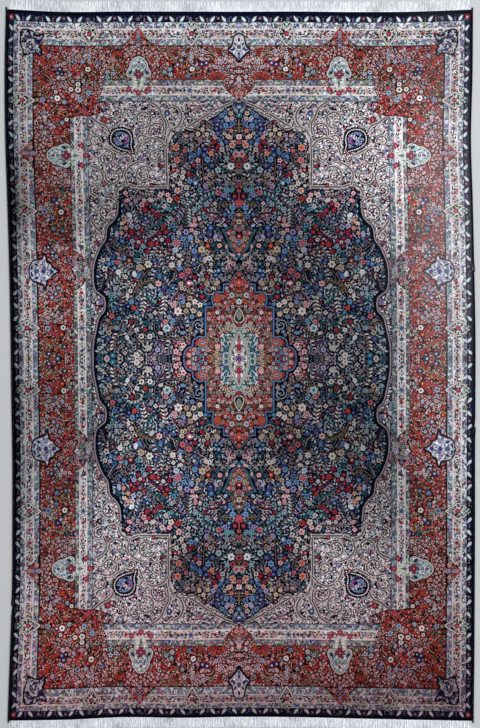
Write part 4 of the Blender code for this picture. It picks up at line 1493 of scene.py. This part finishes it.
def wool_pile_finish():
    """Clipped wool, every knot in the yarn that the chart gives it."""
    finish = Finish("wool_pile")
    math_of = finish.math
    knot_map = finish.node("ShaderNodeUVMap", uv_map="knot_in_block").outputs["UV"]
    split = finish.node("ShaderNodeSeparateXYZ", {0: knot_map})
    last = KNOTS_PER_BLOCK - 0.001
    col = math_of("FLOOR", math_of("MINIMUM", split.outputs["X"], last))
    row = math_of("FLOOR", math_of("MINIMUM", split.outputs["Y"], last))

    packed, place_value = [], []
    for number in range(KNOTS_PER_BLOCK):
        this_row = math_of("COMPARE", row, float(number), 0.1)
        packed.append(math_of("MULTIPLY", finish.read(f"knots_{number}").outputs["Fac"], this_row))
        this_col = math_of("COMPARE", col, float(number), 0.1)
        place_value.append(math_of("MULTIPLY", this_col, float(YARN_CODES**number)))
    code = math_of("DIVIDE", finish.total(*packed), finish.total(*place_value))
    yarn = math_of("MODULO", math_of("FLOOR", code), float(YARN_CODES))
    share = math_of("DIVIDE", math_of("ADD", yarn, 0.5), float(YARN_CODES))
    stops = [(number / YARN_CODES, rgb) for number, rgb in enumerate(YARNS.values())]
    wool = finish.ramp(share, stops, "CONSTANT")

    # each knot takes the dye a little differently, and so does each lot of yarn along the rug
    block = finish.read("block_place").outputs["Vector"]
    in_block = finish.vector(col, row)
    knot = finish.node("ShaderNodeVectorMath", {0: block, 1: (KNOTS_PER_BLOCK,) * 3, 2: in_block},
                       operation="MULTIPLY_ADD")
    knot_noise = finish.node("ShaderNodeTexWhiteNoise", {"Vector": knot.outputs[0]}).outputs["Value"]
    place = finish.place()
    lot = finish.noise(finish.stretched(place, (0.15, 7.0, 1.0)), 1.0, 3.0)
    wear = finish.noise(place, 3.2, 4.0)
    tone = math_of("MULTIPLY_ADD", knot_noise, *KNOT_TONES)
    for slow in (lot, wear):
        tone = math_of("MULTIPLY", tone, math_of("MULTIPLY_ADD", slow, *SLOW_TONES))
    wool = finish.toned(wool, tone)

    # the pile is lighter at spots of fading and painted light and deeper at spots of painted shade, and all
    # of it is darkened by painted shade between the tufts
    fading_light_and_shade = finish.read("fading_light_and_shade").outputs["Fac"]
    wool = finish.toned(wool, math_of("MULTIPLY_ADD", fading_light_and_shade, PAINTED_TUFT_SHADE, PAINTED_TUFT_SHADE))
    along = finish.node("ShaderNodeSeparateXYZ", {0: place}).outputs["Y"]
    warm = finish.node("ShaderNodeMapRange", {
        "Value": along, "From Min": WARM_FROM, "From Max": WARM_FROM - 1.0}).outputs[0]
    wool = finish.tint("MULTIPLY", warm, wool, WARM_END)
    # painted sheen: a pale veil mixed in where the light pales the pile
    finish.dye(finish.tint("MIX", finish.read("paling").outputs["Fac"], wool, linear(PALED_WOOL)))

    # the cut tufts stand up from the rows between them
    from_middle = []
    for axis in ("X", "Y"):
        off = math_of("SUBTRACT", math_of("FRACT", split.outputs[axis]), 0.5)
        from_middle.append(math_of("MULTIPLY", off, off))
    dome = math_of("SUBTRACT", 1.0, finish.total(*from_middle))
    fibres = finish.noise(place, 900.0)
    finish.bump(finish.total(dome, math_of("MULTIPLY", fibres, 0.5), knot_noise), 0.35, TUFT_HEIGHT)
    finish.cloth(0.95, 0.0)
    return finish.material


def wrapped_wool_finish():
    """Near-black navy wool, overcast thread by thread."""
    finish = Finish("selvedge_wool")
    place = finish.place()
    shade = finish.noise(place, 60.0, 4.0)
    finish.dye(finish.ramp(shade, [(0.3, (5, 5, 9)), (0.55, (14, 15, 30)), (0.8, (34, 36, 52))]))
    finish.bump(finish.noise(place, 1400.0), 0.4, 0.0006)
    finish.cloth(0.9, 0.02)
    return finish.material


def cotton_finish():
    """Bleached cotton warps, off-white with slight grey at random, and darker grey patches and threads
    painted in as shade between the warps.
    """
    finish = Finish("fringe_cotton")
    place = finish.place()
    thread = finish.noise(finish.stretched(place, (320.0, 14.0, 320.0)), 1.0, 3.0)
    patch = finish.noise(place, 9.0, 3.0)
    shade = finish.math("MULTIPLY_ADD", patch, 0.5, finish.math("MULTIPLY", thread, 0.6))
    # the grey low end of the ramp is painted shade between the warps
    stops = [(0.33, (120, 120, 126)), (0.47, (222, 224, 230)), (0.62, (248, 250, 254))]
    finish.dye(finish.ramp(shade, stops))
    finish.bump(finish.noise(place, 1800.0), 0.3, 0.0005)
    finish.cloth(0.95, 0.0)
    return finish.material


# ------------------------------ growing what repeats
class Growth(Nodes):
    """A Geometry Nodes tree that grows a piece on a line of points."""

    def __init__(self, name, inputs):
        self.tree = bpy.data.node_groups.new(name, "GeometryNodeTree")
        sockets = self.tree.interface
        for way in ("INPUT", "OUTPUT"):
            sockets.new_socket("Geometry", in_out=way, socket_type="NodeSocketGeometry")
        self.values = {}
        for label, value in inputs.items():
            kind = "NodeSocketInt" if isinstance(value, int) else "NodeSocketFloat"
            socket = sockets.new_socket(label, in_out="INPUT", socket_type=kind)
            self.values[socket.identifier] = value
        self.given = self.tree.nodes.new("NodeGroupInput").outputs

    def chance(self, low, high):
        made = self.node("FunctionNodeRandomValue", {2: low, 3: high, "Seed": self.given["Seed"]})
        return made.outputs[1]

    def grow(self, name, line, grown, material):
        """Runs the tree on a line of points, keeps the plain mesh that it makes, and covers it."""
        covered = self.node("GeometryNodeSetMaterial", {"Geometry": grown, "Material": material})
        self.node("NodeGroupOutput", {0: covered.outputs["Geometry"]})
        curve = bpy.data.curves.new(name, "CURVE")
        curve.dimensions = "3D"
        spline = curve.splines.new("POLY")
        spline.points.add(len(line) - 1)
        for point, (x, y, z) in zip(spline.points, line):
            point.co = (x, y, z, 1)
        guide = bpy.data.objects.new(name + "_line", curve)
        bpy.context.scene.collection.objects.link(guide)
        modifier = guide.modifiers.new("grow", "NODES")
        modifier.node_group = self.tree
        for identifier, value in self.values.items():
            modifier[identifier] = value
        graph = bpy.context.evaluated_depsgraph_get()
        mesh = bpy.data.meshes.new_from_object(guide.evaluated_get(graph))
        guide.modifiers.remove(modifier)
        bpy.data.objects.remove(guide)
        mesh.name = name
        mesh.shade_smooth()
        piece = bpy.data.objects.new(name, mesh)
        bpy.context.scene.collection.objects.link(piece)
        return piece


def selvedge_line(node):
    """The middle of an overcast cord, station by station, from the frame's own cord."""
    rings = {}
    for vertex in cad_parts[node].data.vertices:
        rings.setdefault(round(vertex.co.y, 2), []).append(vertex.co)
    line = []
    for ring in (rings[key] for key in sorted(rings)):
        low = [min(co[axis] for co in ring) for axis in range(3)]
        high = [max(co[axis] for co in ring) for axis in range(3)]
        line.append([(a + b) / 2 for a, b in zip(low, high)])
    return line


def make_selvedge(name, node, material, seed):
    """One overcast cord: a tube whose thickness swells with every turn of the wrapping yarn."""
    sizes = {"Radius": 0.0046, "Turn Spacing": 0.0021, "Unevenness": 0.08, "Seed": seed}
    growth = Growth(name + "_wrapping", sizes)
    given = growth.given
    line = growth.node("GeometryNodeResampleCurve", {
        "Curve": given["Geometry"], "Length": given["Turn Spacing"]}, mode="LENGTH")
    odd = growth.math("MODULO", growth.node("GeometryNodeInputIndex").outputs[0], 2.0)
    swell = growth.math("MULTIPLY_ADD", odd, -0.16, 1.0)
    uneven = growth.math("MULTIPLY", growth.chance(-1.0, 1.0), given["Unevenness"])
    scale = growth.math("MULTIPLY", growth.math("ADD", swell, uneven), given["Radius"])
    profile = growth.node("GeometryNodeCurvePrimitiveCircle", {"Resolution": 10, "Radius": 1.0})
    tube = growth.node("GeometryNodeCurveToMesh", {
        "Curve": line.outputs[0], "Profile Curve": profile.outputs["Curve"], "Scale": scale,
        "Fill Caps": True})
    real = growth.node("GeometryNodeRealizeInstances", {"Geometry": tube.outputs[0]})
    return growth.grow(name, selvedge_line(node), real.outputs[0], material)


# The fringe's measures, metres
WARP_LENGTH = 0.062
KNOTS_BEYOND_PILE = 0.0035           # the row of knots lies this far out from the pile's edge
KNOT_HEIGHT = 0.0026
CORNER_CLEARANCE = 0.012             # the fringe keeps this far from the selvedges
TIP_FALL = 0.0009                    # how much lower than the knots the warps lie
KNOT_STRAY = (0.0011, 0.0012)        # how far a knot may lie off its place, along and across
WARP_STRAY = 0.0005                  # how far a warp may lie above or below its knot
SHORTEST = 0.80                      # the shortest warp's share of the full length
# Slow and quick waves that carry the tips sideways: how many to a metre, and how strong
SWAYS = ((9.0, 1.6), (70.0, 1.0), (190.0, 0.35))


def fringe_line(places, heights, outward):
    """Where one end's knots lie, from selvedge to selvedge."""
    first, last = places[0] + CORNER_CLEARANCE, places[-1] - CORNER_CLEARANCE
    between = [(x, y) for x, y in zip(places, heights) if first < x < last]
    line = [(first, heights[0]), *between, (last, heights[-1])]
    return [(x, y + outward * KNOTS_BEYOND_PILE, KNOT_HEIGHT) for x, y in line]


def make_fringe(name, places, heights, outward, material, seed):
    """One fringe: a row of knots against the pile and the warps that hang from them."""
    growth = Growth(name + "_warps", {
        "Bunches": 430, "Warps in a Bunch": 3, "Warp Radius": 0.00115, "Fan": 0.0013, "Lean": 0.10,
        "Knot Radius": 0.0030, "Sway": 0.0045, "Seed": seed})
    given = growth.given
    turned = 0.0 if outward > 0 else math.pi

    # one warp, from its knot at the pile out to its tip
    warp = growth.node("GeometryNodeCurvePrimitiveLine", {"End": (0.0, WARP_LENGTH, 0.0)})
    warp = growth.node("GeometryNodeResampleCurve", {"Curve": warp.outputs[0], "Count": 8})
    profile = growth.node("GeometryNodeCurvePrimitiveCircle", {
        "Resolution": 5, "Radius": given["Warp Radius"]})
    warp = growth.node("GeometryNodeCurveToMesh", {
        "Curve": warp.outputs[0], "Profile Curve": profile.outputs["Curve"], "Fill Caps": True})

    points = growth.node("GeometryNodeResampleCurve", {
        "Curve": given["Geometry"], "Count": given["Bunches"]})
    points = growth.node("GeometryNodeCurveToPoints", {"Curve": points.outputs[0]}, mode="EVALUATED")
    stray = growth.vector(*(growth.chance(-reach, reach) for reach in KNOT_STRAY))
    points = growth.node("GeometryNodeSetPosition", {
        "Geometry": points.outputs["Points"], "Offset": stray})
    knot = growth.node("GeometryNodeMeshIcoSphere", {"Radius": given["Knot Radius"], "Subdivisions": 2})
    knots = growth.node("GeometryNodeInstanceOnPoints", {
        "Points": points.outputs[0], "Instance": knot.outputs[0],
        "Scale": growth.vector(1.15, growth.chance(1.3, 2.2), 0.62)})

    # the warps of a bunch fan out from its knot
    many = growth.node("GeometryNodeDuplicateElements", {
        "Geometry": points.outputs[0], "Amount": given["Warps in a Bunch"]}, domain="POINT")
    place = growth.math("SUBTRACT", many.outputs["Duplicate Index"], 1.0)
    spread = growth.math("MULTIPLY", place, given["Fan"])
    many = growth.node("GeometryNodeSetPosition", {
        "Geometry": many.outputs["Geometry"],
        "Offset": growth.vector(spread, 0.0, growth.chance(-WARP_STRAY, WARP_STRAY))})
    slant = growth.math("MULTIPLY", growth.chance(-1.0, 1.0), given["Lean"])
    slant = growth.math("ADD", growth.math("MULTIPLY_ADD", place, -0.02, slant), turned)
    turn = growth.node("FunctionNodeEulerToRotation", {0: growth.vector(0.0, 0.0, slant)})
    warps = growth.node("GeometryNodeInstanceOnPoints", {
        "Points": many.outputs[0], "Instance": warp.outputs[0], "Rotation": turn.outputs[0],
        "Scale": growth.vector(1.0, growth.chance(SHORTEST, 1.0), 1.0)})
    both = growth.node("GeometryNodeJoinGeometry")
    for part in (warps, knots):
        growth.tree.links.new(part.outputs[0], both.inputs[0])
    real = growth.node("GeometryNodeRealizeInstances", {"Geometry": both.outputs[0]})

    # waves along the fringe carry the tips sideways, and gather them in clumps
    position = growth.node("GeometryNodeInputPosition").outputs[0]
    along = growth.node("ShaderNodeSeparateXYZ", {0: position}).outputs["Y"]
    out = growth.math("SUBTRACT", along, float(np.mean(heights)))
    out = growth.math("DIVIDE", growth.math("MULTIPLY", out, float(outward)), WARP_LENGTH)
    out = growth.math("MAXIMUM", out, 0.0)
    waves = []
    for scale, strength in SWAYS:
        flat = growth.node("ShaderNodeVectorMath", {0: position, 1: (1.0, 0.45, 0.0)}, operation="MULTIPLY")
        wave = growth.math("SUBTRACT", growth.noise(flat.outputs[0], scale, 1.0), 0.5)
        waves.append(growth.math("MULTIPLY", wave, strength))
    sway = growth.math("MULTIPLY", given["Sway"], 4.0)
    sway = growth.math("MULTIPLY", growth.math("MULTIPLY", growth.total(*waves), out), sway)
    fall = growth.math("MULTIPLY", growth.math("MINIMUM", growth.math("MULTIPLY", out, 3.0), 1.0), -TIP_FALL)
    moved = growth.node("GeometryNodeSetPosition", {
        "Geometry": real.outputs[0], "Offset": growth.vector(sway, 0.0, fall)})
    return growth.grow(name, fringe_line(places, heights, outward), moved.outputs[0], material)


# ------------------------------ the pieces
pile_sheet = make_pile(mirrored(knot_everything().knots))
selvedge_finish = wrapped_wool_finish()
for side, seed in (("left", 7), ("right", 19)):
    cord = make_selvedge(f"selvedge_cord_{side}", f"selvedge_{side}", selvedge_finish, seed)
    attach(cord, "root")
    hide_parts(f"selvedge_{side}")

outline = rug_outline()
cotton = cotton_finish()
for end, outward, node, seed in (("top", 1, "fringe_top", 31), ("bottom", -1, "fringe_bottom", 47)):
    fringe = make_fringe(f"fringe_warps_{end}", *outline[end], outward, cotton, seed)
    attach(fringe, "root")
    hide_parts(node)

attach(pile_sheet, "root")
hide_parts("pile")

# ------------------------------ the studio
PICTURE_MIDDLE = (-0.0005, 0.0056)   # what the camera looks down on, metres
PICTURE_HEIGHT = 4.2224
CAMERA_HEIGHT = 16.0
FILM_WIDTH = 36.0                    # millimetres
FLOOR_REACH = 30.0
FLOOR_GREY = (186, 187, 188)
SKY = (0.93, 0.96, 1.0, 1.0)
SKY_STRENGTH = 0.7
WINDOW_PLACE = (6.0, 3.5, 9.0)
WINDOW_SIZE = 4.0
WINDOW_WATTS = 820.0

floor_mesh = bpy.data.meshes.new("floor")
floor_corners = [(FLOOR_REACH * x, FLOOR_REACH * y, 0) for x, y in ((-1, -1), (1, -1), (1, 1), (-1, 1))]
floor_mesh.from_pydata(floor_corners, [], [(0, 1, 2, 3)])
floor = bpy.data.objects.new("floor", floor_mesh)
bpy.context.scene.collection.objects.link(floor)
floor_finish = Finish("floor_paint")
floor_finish.dye(linear(FLOOR_GREY))
floor_finish.shader.inputs["Roughness"].default_value = 0.9
floor_mesh.materials.append(floor_finish.material)

camera_data = bpy.data.cameras.new("camera")
camera_data.sensor_width = FILM_WIDTH
camera_data.lens = FILM_WIDTH * (CAMERA_HEIGHT - PILE_TOP) / PICTURE_HEIGHT
camera_data.clip_end = 200.0
camera = bpy.data.objects.new("camera", camera_data)
camera.location = (*PICTURE_MIDDLE, CAMERA_HEIGHT)
bpy.context.scene.collection.objects.link(camera)
bpy.context.scene.camera = camera

world = bpy.data.worlds.new("studio")
bpy.context.scene.world = world
world.use_nodes = True
sky = world.node_tree.nodes["Background"].inputs
sky["Color"].default_value = SKY
sky["Strength"].default_value = SKY_STRENGTH
window_data = bpy.data.lights.new("window", "AREA")
window_data.shape = "DISK"
window_data.size = WINDOW_SIZE
window_data.energy = WINDOW_WATTS
window = bpy.data.objects.new("window", window_data)
window.location = WINDOW_PLACE
window.rotation_euler = window.location.to_track_quat("Z", "Y").to_euler()
bpy.context.scene.collection.objects.link(window)
bpy.context.scene.view_settings.view_transform = "Standard"
